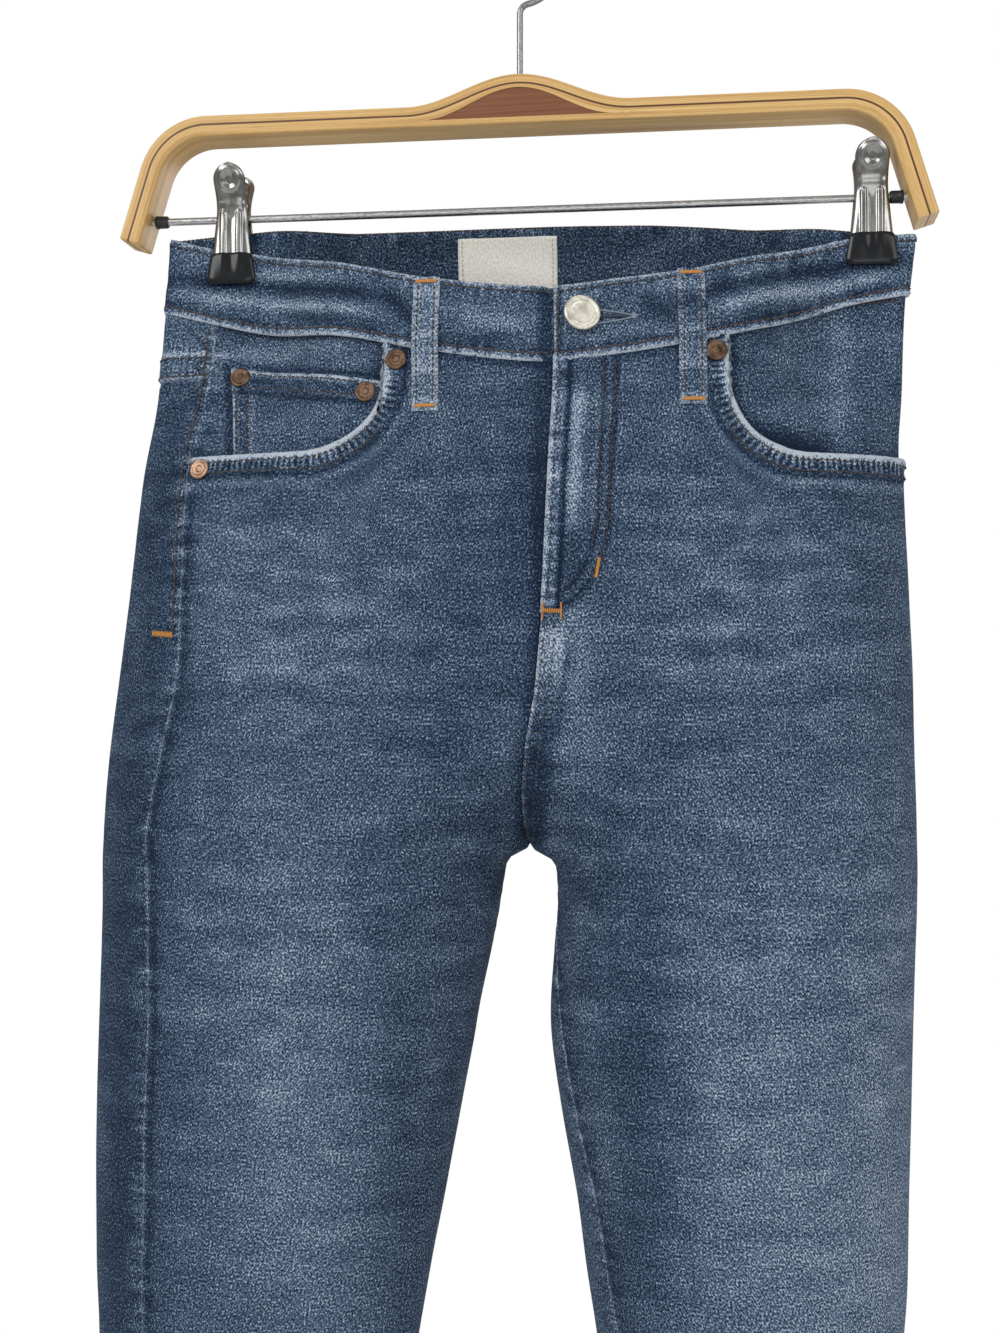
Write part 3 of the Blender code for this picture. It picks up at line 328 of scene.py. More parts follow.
def lengths(points):
    """Distance run along a line of points."""
    return np.concatenate(([0], np.cumsum(np.linalg.norm(np.diff(points, axis=0), axis=1))))


def sample(want, run, rows):
    """Rows at the wanted distances along a run."""
    return np.stack([np.interp(want, run, column) for column in rows.T], 1)


def spacedTurns(z, side, start, end, count):
    """count + 1 turns about evenly apart on the cloth."""
    turns = np.linspace(start, end, 160)
    run = lengths(baseSurface(side, z, turns)) + 6 * np.abs(turns - start)
    return np.interp(np.linspace(0, run[-1], count + 1), run, turns)


print("form ready")

# Shading: one class holds a socket and takes arithmetic.


class Field:
    def __init__(self, tree, socket=None):
        self.tree, self.socket = tree, socket

    def make(self, kind, inputs=None, out=0, **settings):
        """Any other node, with this field's tree."""
        node = self.tree.nodes.new("ShaderNode" + kind)
        for name, value in settings.items():
            setattr(node, name, value)
        for name, value in (inputs or {}).items():
            if isinstance(value, Field):
                self.tree.links.new(value.socket, node.inputs[name])
            else:
                node.inputs[name].default_value = value
        return Field(self.tree, node.outputs[out])

    def calc(self, operation, *others):
        return self.make("Math", dict(enumerate((self, *others))), operation=operation)

    def __add__(self, other):
        return self.calc("ADD", other)

    def __sub__(self, other):
        return self.calc("SUBTRACT", other)

    def __mul__(self, other):
        return self.calc("MULTIPLY", other)

    def __truediv__(self, other):
        return self.calc("DIVIDE", other)

    def sin(self):
        return self.calc("SINE")

    def larger(self, other):
        return self.calc("MAXIMUM", other)

    def split(self, axis):
        return self.make("SeparateXYZ", {"Vector": self}, out=axis)

    def step(self, start, end, low=0.0, high=1.0):
        """A soft step from low to high as the field goes from start to end."""
        inputs = {"Value": self, "From Min": start, "From Max": end, "To Min": low, "To Max": high}
        return self.make("MapRange", inputs, interpolation_type="SMOOTHSTEP")

    def blend(self, first, second):
        """Colour from first to second."""
        inputs = {0: self, 6: paint(first), 7: paint(second)}
        return self.make("Mix", inputs, out=2, data_type="RGBA")

    def ramp(self, stops):
        node = self.tree.nodes.new("ShaderNodeValToRGB")
        self.tree.links.new(self.socket, node.inputs[0])
        elements = node.color_ramp.elements
        for position, _ in stops[1:-1]:
            elements.new(position)
        for element, (position, colour) in zip(elements, stops):
            element.position = position
            element.color = paint(colour)
        return Field(self.tree, node.outputs[0])


def paint(colour):
    return (*colour, 1.0) if isinstance(colour, tuple) else colour


class Finish:
    """A material with a Principled shader whose inputs are set by name."""

    def __init__(self, name, **inputs):
        self.material = bpy.data.materials.new(name)
        self.material.use_nodes = True
        tree = self.material.node_tree
        self.shader = tree.nodes["Principled BSDF"]
        self.start = Field(tree)
        self.set(**inputs)

    def set(self, **inputs):
        for name, value in inputs.items():
            socket = self.shader.inputs[name.replace("_", " ")]
            if isinstance(value, Field):
                value.tree.links.new(value.socket, socket)
            else:
                socket.default_value = paint(value)

    def weave(self):
        """u and v of the cloth's map, in millimetres."""
        vector = self.start.make("UVMap", uv_map="weave")
        return vector.split(0), vector.split(1)

    def attribute(self, name):
        return self.start.make("Attribute", out="Fac", attribute_name=name)

    def vector(self, x=0.0, y=0.0, z=0.0):
        return self.start.make("CombineXYZ", {0: x, 1: y, 2: z})

    def noise(self, vector, scale=1.0, detail=2.0, rough=0.5):
        inputs = {"Vector": vector, "Scale": scale, "Detail": detail, "Roughness": rough}
        return self.start.make("TexNoise", inputs)

    def space(self):
        return self.start.make("TexCoord", out="Object")

    def place(self, axis):
        """x, y or z in the piece's own space, in millimetres."""
        return self.space().split(axis) / mm

    def relief(self, height, strength):
        inputs = {"Height": height, "Distance": mm, "Strength": strength}
        self.set(Normal=self.start.make("Bump", inputs))


# Meshes


def newObject(name, data):
    made = bpy.data.objects.new(name, data)
    bpy.context.scene.collection.objects.link(made)
    return made


def newMesh(name, bm):
    mesh = bpy.data.meshes.new(name)
    bm.to_mesh(mesh)
    bm.free()
    return mesh


def gridPiece(name, points, outs, materials, thick, masks=None, maps=None):
    """A sheet on rows x columns points, in millimetres, with its wall built inwards."""
    rows, columns = points.shape[:2]
    bm = bmesh.new()
    bmesh.ops.create_grid(bm, x_segments=columns - 1, y_segments=rows - 1, size=0.5)
    mesh = newMesh(name, bm)
    flat = np.empty(len(mesh.vertices) * 3)
    mesh.vertices.foreach_get("co", flat)
    flat = flat.reshape(-1, 3)
    column = np.rint((flat[:, 0] + 0.5) * (columns - 1)).astype(int)
    row = np.rint((flat[:, 1] + 0.5) * (rows - 1)).astype(int)
    mesh.vertices.foreach_set("co", (points[row, column] * mm).ravel())
    corner = np.empty(len(mesh.loops), int)
    mesh.loops.foreach_get("vertex_index", corner)
    maps = clothMaps(points) if maps is None else maps
    for mapName, values in maps.items():
        layer = mesh.uv_layers.new(name=mapName)
        layer.data.foreach_set("uv", values[row, column][corner].ravel())
    for maskName, values in (masks or {}).items():
        layer = mesh.attributes.new(maskName, "FLOAT", "POINT")
        layer.data.foreach_set("value", values[row, column].astype(np.float32))
    i, j = rows // 2, columns // 2
    across, down = points[i, j + 1] - points[i, j], points[i + 1, j] - points[i, j]
    if np.dot(np.cross(across, down), outs[i, j]) < 0:
        mesh.flip_normals()
    mesh.shade_smooth()
    for material in materials:
        mesh.materials.append(material)
    made = newObject(name, mesh)
    wall = made.modifiers.new("wall", "SOLIDIFY")
    wall.thickness = thick * mm
    wall.offset = -1.0
    wall.material_offset = len(materials) - 1
    return made


def clothMaps(points):
    """Millimetres across from the middle column, and the height."""
    run = np.pad(np.cumsum(np.linalg.norm(np.diff(points, axis=1), axis=2), axis=1), ((0, 0), (1, 0)))
    return {"weave": np.stack([run - run[:, run.shape[1] // 2, None], points[..., 2]], -1)}


def bead():
    """Corners and faces of a small sphere, the shape of one stitch."""
    bm = bmesh.new()
    bmesh.ops.create_uvsphere(bm, u_segments=6, v_segments=6, radius=1.0)
    verts = np.array([vert.co for vert in bm.verts])
    faces = [[vert.index for vert in face.verts] for face in bm.faces]
    bm.free()
    return verts, faces


beadVerts, beadFaces = bead()


class Thread:
    """Gathers stitches of one colour and makes them into one mesh."""

    def __init__(self, name, finish, colour, rough=0.8, radius=0.43):
        self.name, self.radius, self.parts = name, radius, []
        self.material = Finish(finish, Base_Color=colour, Roughness=rough).material

    def run(self, points, outs, length=2.9, gap=0.55, radius=None):
        """Stitches along a line on the cloth."""
        run = lengths(points)
        count = max(int(round(run[-1] / (length + gap))), 1)
        pitch = run[-1] / count
        starts = np.arange(count) * pitch + 0.5 * gap
        ends = starts + pitch - gap
        out = unit(sample(0.5 * (starts + ends), run, outs))
        self.add(sample(starts, run, points), sample(ends, run, points), out, radius or self.radius)

    def add(self, starts, ends, outs, radius):
        """One stitch from each start to each end."""
        along = unit(ends - starts)
        wide = unit(np.cross(outs, along))
        up = np.cross(along, wide)
        half = 0.5 * np.linalg.norm(ends - starts, axis=1)[:, None, None]
        middle = 0.5 * (starts + ends)
        shaped = beadVerts[None]
        bent = (1 - shaped[..., 2] ** 2) * radius * 0.5 + radius * 0.15
        verts = (
            middle[:, None]
            + along[:, None] * shaped[..., 2:3] * half
            + wide[:, None] * shaped[..., 0:1] * radius
            + up[:, None] * (shaped[..., 1] * radius * 0.8 + bent)[..., None]
        )
        self.parts.append(verts.reshape(-1, 3))

    def build(self):
        verts = np.concatenate(self.parts) * mm
        beads = len(verts) // len(beadVerts)
        faces = [[i + k * len(beadVerts) for i in face] for k in range(beads) for face in beadFaces]
        mesh = bpy.data.meshes.new(self.name)
        mesh.from_pydata(verts.tolist(), [], faces)
        mesh.shade_smooth()
        mesh.materials.append(self.material)
        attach(newObject(self.name, mesh), "root")
        print(self.name, beads, "stitches")


# Cloth finishes
denimLook = {
    "level": 0.335,
    "grain": 3.3,
    "warpStreaks": 0.24,
    "twill": 0.20,
    "slubs": 0.24,
    "clouds": 0.42,
    "bands": 0.42,
    "puckers": 0.50,
    "ribs": 0.30,
    "stops": (
        (0.0, (0.005, 0.0135, 0.034)),
        (0.2, (0.0215, 0.043, 0.082)),
        (0.4, (0.052, 0.087, 0.144)),
        (0.6, (0.104, 0.154, 0.232)),
        (0.8, (0.222, 0.290, 0.396)),
        (1.0, (0.47, 0.53, 0.60)),
    ),
}


def denim(name, level, rim, slant):
    """Washed denim from the piece's own masks.

    The first mask is how faded, with painted shade and painted highlights added in. edge: distance from a sewn edge.
    along: distance along it. rib: ribs between stitch rows.
    """
    look = denimLook
    finish = Finish(name, Roughness=0.92, Specular_IOR_Level=0.2)
    u, v = finish.weave()
    wearAndShade, edge, along, rib = (finish.attribute(mask) for mask in ("wearAndShade", "edge", "along", "rib"))
    wander = finish.noise(finish.vector(u * 0.35, v * 0.35), detail=1.0) * 2.6
    wale = ((u + v * slant) * 4.6 + wander).sin() * 0.5
    streak = finish.noise(finish.vector(u * 0.9, v * 0.05), detail=3.0) - 0.5
    grain = finish.noise(finish.vector(u * 1.05, v * 0.95, 3.0), detail=3.0, rough=0.6) - 0.5
    slub = finish.noise(finish.vector(u * 0.11, v * 0.9, 7.0)) - 0.5
    cloud = finish.noise(finish.vector(u * 0.07, v * 0.09, 11.0), detail=3.0) - 0.5
    bands = finish.noise(finish.vector(u * 0.018, v * 0.085, 17.0), detail=3.0) - 0.5
    rope = finish.noise(finish.vector(along * 0.20, edge * 0.07, 5.0)) - 0.5
    ladder = (along * 2.17 + wander).sin() * edge.step(1.6, 3.2) * edge.step(7.0, 8.6, 1.0, 0.0) * rib
    nearEdge = edge.step(1.5, 14.0, 1.0, 0.0)
    calm = finish.place(2).step(-700, -500, 0.5, 1.0)
    crest = edge.step(0.5, 2.2, 1.0, 0.0) * (rope * 2.0 + 0.8).larger(0.1)
    tone = (
        wearAndShade
        + (look["level"] + level)
        + streak * look["warpStreaks"]
        + slub * look["slubs"]
        + cloud * calm * look["clouds"]
        + bands * calm * look["bands"]
        + rope * nearEdge * (2 * look["puckers"])
        + ladder * look["ribs"]
        + crest * rim
        + grain * look["grain"]
        + wale * look["twill"]
    )
    finish.set(Base_Color=tone.ramp(look["stops"]))
    finish.relief(wale * 0.05 + grain * 0.10 + streak * 0.05 + rope * nearEdge * 1.3 + ladder * 0.25, 0.9)
    return finish.material


def plainCloth(name, dark, light, scale=1.6):
    finish = Finish(name, Roughness=0.9)
    u, v = finish.weave()
    weft = finish.noise(finish.vector(u * scale, v * scale * 0.6), detail=3.0)
    finish.set(Base_Color=weft.step(0.3, 0.7).blend(dark, light))
    finish.relief(weft * 0.15, 0.8)
    return finish.material


denimFace = denim("denimFace", 0.0, 0.30, 0.55)
denimBand = denim("denimBand", 0.03, 0.42, -0.55)
# The band's inside is the same denim painted darker, as painted shade.
denimShadedInside = denim("denimShadedInside", -0.06, 0.10, -0.55)
denimInside = plainCloth("denimInside", (0.13, 0.16, 0.20), (0.30, 0.34, 0.38))

brown = Thread("stitchesBrown", "threadBrown", (0.055, 0.037, 0.027), 0.75)
rust = Thread("stitchesRust", "threadRust", (0.085, 0.050, 0.032), 0.75)
orange = Thread("bartacks", "threadOrange", (0.55, 0.24, 0.055), 0.7)
navy = Thread("stitchesNavy", "threadNavy", (0.030, 0.045, 0.08))
blue = Thread("stitchesBlue", "threadBlue", (0.22, 0.27, 0.33))
slotOf = {
    "denimFace": "denim",
    "denimBand": "denim",
    "labelCloth": "woven_label",
    "buttonMetal": "button_metal",
    "rivetDark": "rivet_metal",
    "rivetWorn": "rivet_worn",
    "mapleWood": "maple",
    "redWood": "mahogany",
    "hookSteel": "hook_steel",
    "rodSteel": "clip_steel",
    "clipSteel": "clip_steel",
    "blackVinyl": "black_vinyl",
    "capRubber": "cap_rubber",
}


def join(piece, nodes, slot=None):
    """The piece rides on the part and stands for its CAD nodes. It looks up a slot from its first material but does not
    use it.
    """
    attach(piece, "root")
    if nodes:
        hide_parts(*nodes)
    slot = slot or slotOf.get(piece.data.materials[0].name)


def seat(piece, node, slot=None):
    """A cloth piece joins the part."""
    join(piece, [node], slot)


def nearest(points, line):
    """Distance from every point to a line, and how far along the line."""
    run = lengths(line)
    line = sample(np.arange(0, run[-1] + 0.7, 0.7), run, line)
    flat = points.reshape(-1, 3)
    found, index = np.empty(len(flat)), np.empty(len(flat), int)
    block = 4000
    for start in range(0, len(flat), block):
        some = slice(start, start + block)
        apart = ((flat[some][:, None] - line[None]) ** 2).sum(2)
        index[some] = apart.argmin(1)
        found[some] = np.sqrt(apart.min(1))
    return found.reshape(points.shape[:-1]), lengths(line)[index].reshape(points.shape[:-1])


def distanceTo(points, *lines):
    """Distance from every point to each line."""
    found = [nearest(points, line)[0] for line in lines]
    return found if len(found) > 1 else found[0]


def ridges(distance, rows):
    """Sum of (height, centre, width) ridges over a distance."""
    return sum(height * bump(distance, centre, width) for height, centre, width in rows)


# How faded the cloth is, by face: centre (x, z), radii and amount. The negative amounts are painted shade: beside the
# fly's edge, in the crotch, and along the legs' sides and inner seams where the cloth turns from the light.
fadesAndShade = {
    1: (
        ((-98, -530), (36, 110), 0.16),
        ((-92, -640), (34, 80), 0.07),
        ((118, -560), (48, 140), 0.17),
        ((140, -660), (46, 90), 0.08),
        ((172, -600), (24, 240), 0.16),
        ((-110, -330), (60, 42), 0.06),
        ((110, -330), (60, 42), 0.03),
        ((34, -262), (9, 30), 0.04),
        ((30, -352), (10, 17), 0.20),
        ((34, -385), (9, 34), 0.10),
        ((8, -275), (10, 62), -0.16),
        ((14, -280), (3, 70), -0.30),
        ((-190, -600), (22, 400), -0.16),
        ((-168, -300), (12, 70), -0.10),
        ((-20, -340), (20, 80), -0.08),
        ((-12, -432), (22, 34), -0.05),
        ((34, -440), (22, 30), -0.10),
        ((60, -560), (16, 120), -0.16),
        ((-50, -560), (14, 120), -0.08),
        ((165, -330), (16, 80), -0.06),
        ((105, -820), (34, 60), 0.12),
    ),
    -1: (
        ((-95, -372), (50, 56), 0.16),
        ((82, -372), (50, 56), 0.16),
        ((-110, -560), (44, 120), 0.10),
        ((108, -560), (44, 120), 0.10),
        ((-135, -740), (40, 40), 0.10),
        ((110, -740), (40, 40), 0.10),
    ),
}
# Worn lines by face: start (x, z), end (x, z), sag in the middle and half width.
whiskers = {
    1: (
        ((-172, -286), (-60, -296), -5, 3.2), ((-170, -300), (-40, -314), -7, 2.6),
        ((-166, -317), (-30, -330), -6, 3.0), ((-160, -336), (-36, -345), -5, 2.8),
        ((-150, -354), (-50, -358), -4, 3.4), ((60, -290), (170, -276), -6, 3.0),
        ((56, -306), (176, -293), -6, 2.6), ((52, -322), (172, -311), -6, 3.2),
        ((50, -341), (170, -330), -5, 2.8), ((58, -358), (160, -350), -4, 3.2),
        ((14, -424), (80, -430), -4, 3.6), ((10, -436), (70, -446), -4, 3.0),
    ),
    -1: (
        ((-150, -738), (-96, -734), 4, 4.0), ((70, -734), (140, -738), 4, 4.0),
        ((-150, -756), (-96, -752), 4, 3.6), ((70, -752), (140, -756), 4, 3.6),
    ),
}


# Fading and worn whisker lines, plus the painted shade of the table's negative amounts.
def wearAndShadeAt(points, turn):
    x, z = points[..., 0], points[..., 2]
    front = np.sin(turn) >= 0
    total = np.zeros(x.shape)
    for face, on in ((1, front), (-1, ~front)):
        for (cx, cz), (rx, rz), amount in fadesAndShade[face]:
            total += on * amount * bump(x, cx, rx) * bump(z, cz, rz)
        for start, end, sag, width in whiskers[face]:
            along, off = crease(x, z, start, end, sag)
            wobble = 1.6 * np.sin(along * 17 + start[0]) + 1.1 * np.sin(along * 31 + start[1])
            taper = ease(along, -0.1, 0.3) * (1 - ease(along, 0.6, 1.1))
            broken = 0.75 + 0.25 * np.sin(along * 23 + 3 * start[0])
            total += on * 0.17 * taper * broken * bump(off - wobble, 0, width)
    return total


def masks(wearAndShade, edge, along=0.0, rib=0.0):
    edge = np.clip(edge, 0, 40)
    named = {"wearAndShade": wearAndShade, "edge": edge, "along": along, "rib": rib}
    return {name: np.broadcast_to(np.asarray(value, float), edge.shape) for name, value in named.items()}


# Legs

legLook = {
    "wall": 1.2, "tuck": 0.55, "columns": 84, "topRows": 58,
    # (height, centre, width) across the pocket's mouth: the pale ridge at the rim is worn cloth, the dark dips below it
    # are painted shadow under the raised ridge and hem.
    "mouthWearAndShade": ((0.85, 1.2, 2.2), (-0.10, 5.6, 2.2), (-0.34, 10.6, 1.3), (0.12, 14, 2.4), (-0.10, 19, 4)),
}
levelZ = -350.0
lowerZ = np.concatenate(
    (np.arange(-353.0, -446, -2.6), np.arange(-448.0, -700, -3.4), np.arange(-704.0, hem, -7.5), [hem])
)


def scoopPath(side):
    """(turn, z) along the front panel's top: the waist seam, the scoop and on to the side seam."""
    scoop = scoops[side]
    edge, low, rx, rz = scoop["edge"], scoop["low"], scoop["rx"], scoop["rz"]
    inner, _, _ = seamTurns(waistSeam, side)
    corner = turnAt([edge], [-206.0], 1)
    waist = np.linspace(inner, corner[0], 60)
    line = [np.stack([waist, bandLevel(side, waist, 1) + tucked], 1)]
    drop = np.linspace(line[0][-1, 1], low + rz, 30)[1:]
    line.append(np.stack([turnAt(np.full(29, edge), drop, 1), drop], 1))
    angle = np.linspace(0, 0.5 * math.pi, 40)[1:]
    x, z = edge + side * rx * (1 - np.cos(angle)), low + rz * (1 - np.sin(angle))
    line.append(np.stack([turnAt(x, z, 1), z], 1))
    _, outer, _ = seamTurns(low, side)
    last = np.linspace(line[-1][-1, 0], outer, 40)[1:]
    line.append(np.stack([last, np.full(39, low)], 1))
    return np.concatenate(line)


def legGrid(side, front, path):
    """Turns and heights of a leg panel whose first row follows the path."""
    columns = legLook["columns"]
    run = lengths(surface(side, path[:, 1], path[:, 0]))
    path = sample(np.linspace(0, run[-1], columns + 1), run, path)
    start, end = panelTurns(path[:, 1], side, front)
    topShare = np.clip((path[:, 0] - start) / (end - start), 0, 1)
    topShare[0], topShare[-1] = 0, 1

    def level(z):
        return spacedTurns(z, side, *panelTurns(z, side, front), columns)

    start, end = panelTurns(levelZ, side, front)
    levelShare = (level(levelZ) - start) / (end - start)
    turns, heights = [], []
    for t in np.linspace(0, 1, legLook["topRows"] + 1):
        z = lerp(path[:, 1], levelZ, t)
        start, end = panelTurns(z, side, front)
        turns.append(lerp(start, end, lerp(topShare, levelShare, ease(t, 0, 1))))
        heights.append(z)
    for z in lowerZ:
        turns.append(level(z))
        heights.append(np.full(columns + 1, z))
    return np.array(turns), np.array(heights), path


def frontLeg(side):
    turn, z, path = legGrid(side, True, scoopPath(side))
    plain, out = cloth(side, z, turn)
    scoop = scoops[side]
    pathPoints = surface(side, path[:, 1], path[:, 0])
    beyond = side * (pathPoints[:, 0] - scoop["edge"]) > -0.3
    mouth, mouthRun = nearest(plain, pathPoints[beyond])
    inner, outer = distanceTo(plain, plain[:, 0], plain[:, -1])
    above = ease(z, crotch, crotch + 6)
    lift = 0.75 * (1 - ease(mouth, 8.2, 10.2)) + ridges(mouth, ((0.45, 1.5, 1.3), (-0.45, 5.4, 1.9)))
    lift -= legLook["tuck"] * (bump(inner, 0, 0.9) * (1 - above) + bump(outer, 0, 0.9))
    gape = bump(plain[..., 0], scoop["edge"] + side * 20, 14) * bump(plain[..., 2], scoop["low"], 9)
    lift += (2.0 if side > 0 else 0.9) * gape * (1 - ease(mouth, 0, 14))
    along = plain[..., 0] + plain[..., 2]
    lift += 0.22 * np.sin(along * 0.95) * (1 - ease(mouth, 3, 14))
    lift += 0.28 * np.sin(z * 0.86 + 0.5) * (1 - ease(inner, 2, 11)) * ease(-z, 446, 470)
    lift += 0.18 * np.sin(z * 0.93) * (1 - ease(outer, 2, 9)) * ease(-z, 268, 290)
    fell = (1 - ease(inner, 10, 12)) * ease(-z, 322, 340) * above
    if side > 0:
        lift += fell * (0.75 + 0.25 * np.sin(z * 0.8))
    else:
        lift -= 0.9 * bump(inner, 0, 3.0) * above * ease(-z, 215, 240)
    points = plain + out * lift[..., None]
    if side < 0:
        points[:, :2, 0] += (1.5 * above[:, :2]) * ease(-z[:, :2], 215, 240)
    edge = np.minimum(np.minimum(mouth, outer), inner if side > 0 else np.where(z < crotch, inner, 40))
    along = np.where(mouth <= edge + 0.01, mouthRun, np.where(outer <= edge + 0.01, z, z + 500))
    # Colour marks: the pocket rim's ridges as listed in legLook, and painted shadow in a line just below the band;
    # next, a pale worn ridge on the side seam.
    below = bandLevel(side, turn, 1) - plain[..., 2]
    extra = ridges(mouth, legLook["mouthWearAndShade"]) - 0.34 * bump(below, 0.6, 2.0)
    extra += 0.34 * bump(outer, 0.9, 1.2) * ease(-z, 204, 212) * (0.7 + 0.3 * np.sin(z * 0.7))
    # Painted shade: darker along the inner seam below the crotch and towards the side seam, where the cloth turns away;
    # then a darker line 4.6 mm in from the side seam.
    extra -= 0.16 * bump(inner, 0, 9) * ease(-z, 430, 500) + 0.06 * bump(outer, 6, 14)
    extra -= 0.24 * bump(outer, 4.6, 2.4) * ease(-z, 266, 290)
    if side > 0:
        # Right front: the felled strip is paler at its top and painted darker towards the crotch as shade; a pale worn
        # ridge runs on its fold, and a painted shadow line lies beside it.
        extra += fell * (0.22 * bump(z, -354, 15) - 0.34 * ease(-z, 376, 396))
        extra += 0.50 * bump(inner, 0.8, 1.4) * ease(-z, 336, 345) * above * (0.75 + 0.25 * np.sin(z * 0.9))
        extra += 0.22 * bump(inner, 7, 5) * bump(z, -349, 9)
        extra -= 0.20 * bump(inner, 12.5, 1.2) * ease(-z, 345, 352) * above
    else:
        # Painted shadow in the groove beside the centre seam.
        extra -= 0.42 * bump(inner, 0, 3.2) * above * ease(-z, 212, 226)
    word = words[side]
    wearAndShade = wearAndShadeAt(points, turn) + extra
    rib = 1 - ease(mouth, 9, 10)
    materials = [denimFace, denimInside]
    piece = gridPiece("front" + word, points, out, materials, legLook["wall"], masks(wearAndShade, edge, along, rib))
    seat(piece, "front_" + word.lower())
    for row in (3.3, 8.6):
        line = np.array([offsetOnGrid(points, mouth, row, column) for column in np.flatnonzero(beyond)[2:]])
        brown.run(line, nearestNormals(line, points, out), 2.5, 0.45)


def offsetOnGrid(points, field, want, column):
    """The point of a grid's column where a field first reaches a value."""
    values = field[:, column]
    i = max(int(np.argmax(values >= want)), 1)
    share = (want - values[i - 1]) / max(values[i] - values[i - 1], 1e-6)
    return lerp(points[i - 1, column], points[i, column], np.clip(share, 0, 1))


def nearestNormals(line, points, outs):
    flat, flatOuts = points.reshape(-1, 3), outs.reshape(-1, 3)
    return np.array([flatOuts[((flat - point) ** 2).sum(1).argmin()] for point in line])


def backLeg(side):
    turns = np.linspace(*panelTurns(yokeSeam, side, False), 120)
    path = np.stack([turns, yokeLevel(side, turns)], 1)
    turn, z, _ = legGrid(side, False, path)
    plain, out = cloth(side, z, turn)
    outer, inner, top = distanceTo(plain, plain[:, 0], plain[:, -1], plain[0])
    lift = -legLook["tuck"] * (bump(inner, 0, 0.9) + bump(outer, 0, 0.9) + bump(top, 0, 0.9))
    lift += 0.5 * (1 - ease(outer, 6.5, 8.5)) * (1 - ease(-z, 335, 350)) * ease(outer, 0.4, 1.6)
    lift += 0.28 * np.sin(z * 0.86 + 0.5) * (1 - ease(inner, 2, 11)) * ease(-z, 446, 470)
    lift += 0.2 * np.sin(z * 0.93 + 1) * (1 - ease(outer, 2, 12))
    points = plain + out * lift[..., None]
    edge = np.minimum(np.minimum(outer, top), np.where(z < crotch, inner, inner + 2))
    along = np.where(top <= edge + 0.01, plain[..., 0], z + np.where(outer <= edge + 0.01, 0, 500))
    # A pale ridge by the side seam, darker further in, and painted shade in the seam's groove.
    extra = 0.05 * bump(outer, 2.0, 1.5) - 0.10 * bump(outer, 12, 12) - 0.15 * bump(outer, 0, 1.5)
    wearAndShade = wearAndShadeAt(points, turn) + extra
    word = words[side]
    materials = [denimFace, denimInside]
    piece = gridPiece("back" + word, points, out, materials, legLook["wall"], masks(wearAndShade, edge, along))
    seat(piece, "back_" + word.lower())


for leg in (frontLeg, backLeg):
    for side in (-1, 1):
        leg(side)
print("legs ready")


# Yokes, waistband and pockets


yokeLook = {"columns": 76, "rows": 25, "wall": 1.2, "lap": 13.5}


def yoke(side):
    look = yokeLook
    columns = spacedTurns(waistSeam, side, *panelTurns(yokeSeam, side, False), look["columns"])
    share = np.linspace(0, 1, look["rows"] + 1)[:, None]
    turn = np.broadcast_to(columns, (look["rows"] + 1, look["columns"] + 1))
    z = lerp(bandLevel(side, turn, 1) + tucked, yokeLevel(side, turn), share)
    plain, out = cloth(side, z, turn)
    low, outerEdge, innerEdge = distanceTo(plain, plain[-1], plain[:, 0], plain[:, -1])
    lift = -0.55 * (bump(low, 0, 0.9) + bump(outerEdge, 0, 0.9) + bump(innerEdge, 0, 0.9))
    lift += 0.6 * (1 - ease(low, 12.5, 14.0)) * ease(low, 0, 1.5)
    points = plain + out * lift[..., None]
    lap = np.abs(low - look["lap"])
    edge = np.minimum(np.minimum(low, lap), np.minimum(outerEdge, innerEdge))
    word = words[side]
    extra = 0.14 * bump(low, 0.8, 1.4) + 0.20 * bump(low, 12.8, 1.2) + 0.06
    along = np.where(np.minimum(low, lap) <= edge + 0.01, turn * 170, z)
    piece = gridPiece("yoke" + word, points, out, [denimFace, denimInside], look["wall"], masks(extra, edge, along))
    seat(piece, "yoke_" + word.lower())


for side in (-1, 1):
    yoke(side)

bandLook = {
    "proud": 1.0, "wall": 2.2, "rows": 17, "columns": 74, "under": 2.5, "dip": (88.0, 89.6),
    "underlap": 42.0, "underColumns": 17,
}


def bandTurns():
    """(side, turn, depth) round the band from the buttoned end to the end beneath it."""
    look = bandLook
    quarters = []
    for side, start, end in ((1, 90, 0), (1, 0, -90), (-1, -90, 0), (-1, 0, 90)):
        turns = spacedTurns(bandMiddle, side, math.radians(start), math.radians(end), look["columns"])
        turns = turns[1:] if quarters else turns
        last = side < 0 and start == 0
        quarters.append((side, turns, last * look["under"] * ease(np.degrees(turns), *look["dip"])))
    _, half = halfLoop(bandMiddle, 1, True)
    under = np.linspace(0.5 * math.pi, math.acos(look["underlap"] / half), look["underColumns"] + 1)[1:]
    return quarters + [(1, under, np.full(look["underColumns"], look["under"]))]


bandCreases = (
    ((-174, -166), (-52, -186), 3, 3.2, -1.3), ((-174, -173), (-64, -193), 2, 3.0, 1.1),
    ((-150, -164), (-90, -172), 1, 3.0, 0.8), ((-62, -180), (-44, -198), 0, 4.0, -1.0),
    ((-120, -184), (-60, -198), -1, 3.0, -0.7), ((76, -190), (184, -166), 4, 3.2, -1.4),
    ((82, -198), (182, -174), 3, 3.0, 1.1), ((98, -181), (130, -173), 1, 3.0, 0.8),
    ((96, -204), (150, -192), 1, 2.6, -0.6), ((-30, -196), (8, -201), 1, 4.0, 0.7),
    ((-34, -204), (6, -208), 0, 3.0, -0.6), ((58, -186), (76, -200), 0, 4.0, -0.7),
)


